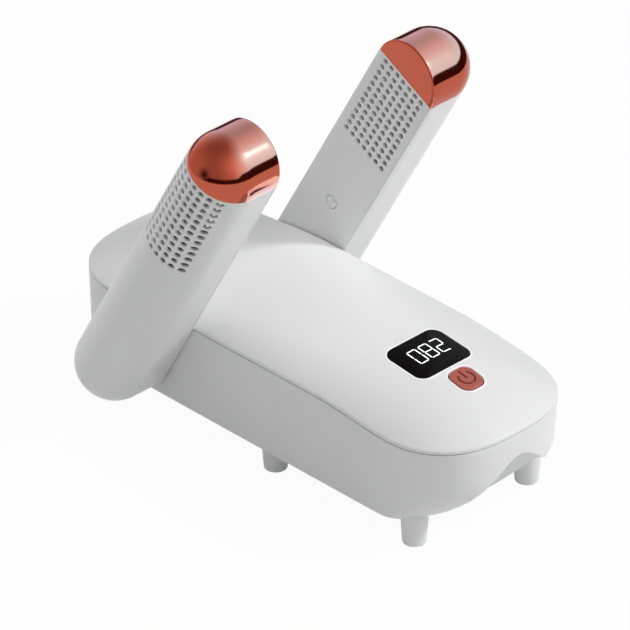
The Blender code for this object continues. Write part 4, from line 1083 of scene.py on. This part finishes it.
floor_bm = bmesh.new()
bmesh.ops.create_grid(floor_bm, x_segments=2, y_segments=2, size=6.0)
floor = shown("floor", mesh_from("floor", floor_bm))
floor.data.materials.append(white_floor())


# %% Lamps and sky
def direction(azimuth, elevation):
    """A unit vector; azimuth 0 is the front, 90 the right side."""
    azimuth, elevation = math.radians(azimuth), math.radians(elevation)
    return Vector((math.sin(azimuth) * math.cos(elevation), -math.cos(azimuth) * math.cos(elevation),
                   math.sin(elevation)))


CAPS = [bpy.data.objects["right_cap"], bpy.data.objects["left_cap"]]


def receivers(name, state, pieces):
    """A collection that shows a light to these pieces alone, or hides it from them."""
    group = bpy.data.collections.new(name)
    for piece in pieces:
        group.objects.link(piece)
    for entry in group.collection_objects:
        entry.light_linking.link_state = state
    return group


BODY_ONLY = receivers("all_but_caps", "EXCLUDE", CAPS)
CAPS_ONLY = receivers("caps_alone", "INCLUDE", CAPS)


def softbox(name, azimuth, elevation, distance, size, power):
    lamp = bpy.data.lights.new(name, "AREA")
    lamp.shape = "DISK"
    lamp.size = size
    lamp.energy = power
    made = bpy.data.objects.new(name, lamp)
    scene.collection.objects.link(made)
    towards = direction(azimuth, elevation)
    made.location = Vector((0, 0, 0.06)) + towards * distance
    made.rotation_euler = towards.to_track_quat("Z", "Y").to_euler()
    made.light_linking.receiver_collection = BODY_ONLY
    return made


softbox("key", 42, 38, 1.6, 0.20, 12.0)
for name, azimuth, elevation, power in (
        ("top_left", 300, 70, 7.3), ("back", 180, 45, 12.2), ("left_low", 315, 12, 2.2),
        ("right_low", 45, 12, 4.7), ("front_high", 0, 45, 3.4), ("left_back", 225, 12, 2.2)):
    softbox(name, azimuth, elevation, 1.8, 1.2, power)

sky = bpy.data.worlds.new("sky")
scene.world = sky
sky.use_nodes = True
sky.node_tree.nodes.clear()
sky_nodes = Nodes(sky.node_tree)
dim, bright = (sky_nodes.node("ShaderNodeBackground", {}, {"Color": (1.0, 1.0, 1.0, 1.0), "Strength": strength})
               for strength in (0.10, 1.0))
both = sky_nodes.node("ShaderNodeMixShader", {}, {0: seen_rays(sky_nodes), 1: dim, 2: bright})
show_shader(sky, both, "ShaderNodeOutputWorld")

# %% [markdown]
# ## What the caps mirror
# Polished metal is lit by what stands round it. Photographers put such a piece in a tent: pale cloth
# above, a black gap along the horizon, and one side brighter than the other. This tent is a dome that
# mirrors alone can see, and light linking shows it to the caps and to nothing else. Copper turns white
# light orange, so the bright cloth is a cool white, and its highlights come out pale.

# %% Reflection tent
TENT_CENTRE, TENT_RADIUS = (0.0, 0.0, 0.2), 0.95
WARM_CLOTH, WARM_SPOTS = (1.0, 0.88, 0.84), [(-15, 30, 4.0, 0.78), (75, 55, 10.0, 0.45), (-120, 0, 4.0, 0.36)]
GAP_CLOTH = (0.07, 0.025, 0.02)
PINK_CLOTH, PINK_SPOTS = (1.0, 0.68, 0.64), [(165, 0, 4.0, 0.55), (105, 0, 8.0, 0.30)]
COOL_CLOTH, COOL_SPOTS = (2.0, 9.0, 14.5), [(55, 5, 1.8, 0.50), (140, 25, 6.0, 0.12), (30, 40, 30.0, 0.33),
                                            (39, 40, 260.0, 0.90)]


def tent_cloth():
    made, nodes = stage_material("tent_cloth")
    place = nodes.node("ShaderNodeTexCoord", output="Object")
    from_centre = nodes.node("ShaderNodeVectorMath", {"operation": "SUBTRACT"}, {0: place, 1: TENT_CENTRE})
    way = nodes.node("ShaderNodeVectorMath", {"operation": "NORMALIZE"}, {0: from_centre})

    def spot(azimuth, elevation, power):
        towards = nodes.node("ShaderNodeVectorMath", {"operation": "DOT_PRODUCT"},
                             {0: way, 1: direction(azimuth, elevation)}, output="Value")
        return nodes.node("ShaderNodeMath", {"operation": "MAXIMUM"}, {0: towards, 1: 0.0}) ** power

    def step(value, low, high):
        return nodes.node("ShaderNodeMapRange", {"interpolation_type": "SMOOTHSTEP"},
                          {"Value": value, "From Min": low, "From Max": high})

    def cloth(colour, start, spots):
        level = start
        for azimuth, elevation, power, weight in spots:
            level = level + weight * spot(azimuth, elevation, power)
        return nodes.node("ShaderNodeVectorMath", {"operation": "SCALE"}, {0: colour, "Scale": level})

    height = nodes.node("ShaderNodeSeparateXYZ", {}, {"Vector": way}, output="Z")
    gap_top = 0.155 * step(spot(70, 0, 1.0), 0.0, 0.35) - 0.21 * step(spot(-138, 0, 1.0), 0.62, 0.86)
    above_gap = step(height - gap_top, -0.03, 0.03) * (1 - spot(-103, 1, 32.0))
    both = nodes.node("ShaderNodeVectorMath", {"operation": "ADD"},
                      {0: cloth(WARM_CLOTH, 0.35, WARM_SPOTS), 1: cloth(COOL_CLOTH, 0.0, COOL_SPOTS)})
    all_cloth = nodes.node("ShaderNodeVectorMath", {"operation": "ADD"},
                           {0: both, 1: cloth(PINK_CLOTH, 0.0, PINK_SPOTS)})
    lit = nodes.node("ShaderNodeVectorMath", {"operation": "SCALE"}, {0: all_cloth, "Scale": above_gap})
    with_gap = nodes.node("ShaderNodeVectorMath", {"operation": "ADD"}, {0: lit, 1: GAP_CLOTH})
    return show_shader(made, nodes.node("ShaderNodeEmission", {}, {"Color": with_gap, "Strength": 1.0}))


def for_mirrors(piece, group):
    """Show a piece to the reflections in a group, and to nothing else."""
    piece.visible_camera = piece.visible_diffuse = False
    piece.visible_shadow = piece.visible_transmission = False
    piece.light_linking.receiver_collection = group


angles = np.linspace(0, 2 * np.pi, 96, endpoint=False)
tent_rings = [np.column_stack([TENT_RADIUS * math.cos(e) * np.cos(angles),
                               TENT_RADIUS * math.cos(e) * np.sin(angles),
                               np.full(len(angles), TENT_CENTRE[2] + TENT_RADIUS * math.sin(e))])
              for e in np.radians(np.linspace(-12, 90, 52))]
tent = shown("tent", loft("tent", tent_rings))
tent.data.materials.append(tent_cloth())
for_mirrors(tent, CAPS_ONLY)
print("tent", len(tent.data.polygons), "faces")

# %% [markdown]
# The near cap also mirrors the bright lid below it, with the dark window as a line. A pale card just over
# the lid, cut out round the window, gives that reflection the same strength as the tent's cloth.

# %% Lid card
CARD_X, CARD_Y, CARD_Z = (-0.034, -0.0195, 0.0195, 0.052), (-0.132, -0.096, -0.065, -0.012), 0.0875


def clear_glow(name, colour, strength):
    """A see-through material that gives off light."""
    made, nodes = stage_material(name)
    glow = nodes.node("ShaderNodeEmission", {}, {"Color": (*colour, 1.0), "Strength": strength})
    clear = nodes.node("ShaderNodeBsdfTransparent")
    return show_shader(made, nodes.node("ShaderNodeAddShader", {}, {0: glow, 1: clear}))


def lid_card():
    bm = bmesh.new()
    grid = [[bm.verts.new((x, y, CARD_Z)) for x in CARD_X] for y in CARD_Y]
    for i in range(3):
        for j in range(3):
            if (i, j) != (1, 1):
                bm.faces.new((grid[i][j], grid[i][j + 1], grid[i + 1][j + 1], grid[i + 1][j]))
    return shown("lid_card", mesh_from("lid_card", bm))


card = lid_card()
card.data.materials.append(clear_glow("lid_card", (0.9, 2.4, 3.2), 1.0))
for_mirrors(card, CAPS_ONLY)
print("lid card", len(card.data.polygons), "faces")

# %% [markdown]
# The window mirrors a pale screen that stands behind the dryer on its right. The screen's edge runs across
# the glass, so one half of the window is a little lighter than the other.

# %% Window screen
SCREEN_RADIUS, SCREEN_LOW, SCREEN_HIGH, SCREEN_START = 0.55, 0.2, 0.85, 85


def window_screen():
    """A curved screen whose left edge leans back as it rises."""
    bm = bmesh.new()
    rows = []
    for z in np.linspace(SCREEN_LOW, SCREEN_HIGH, 9):
        edge = 120.0 + 10.0 * (z - 0.39) / 0.36
        rows.append([(*(SCREEN_RADIUS * direction(azimuth, 0)).xy, z)
                     for azimuth in np.linspace(SCREEN_START, edge, 13)])
    add_rings(bm, rows, closed=False)
    return shown("window_screen", mesh_from("window_screen", bm))


screen = window_screen()
screen.data.materials.append(clear_glow("window_screen", (1.0, 1.0, 1.0), 1.2))
for_mirrors(screen, receivers("window_alone", "INCLUDE", [window]))
print("window screen", len(screen.data.polygons), "faces")
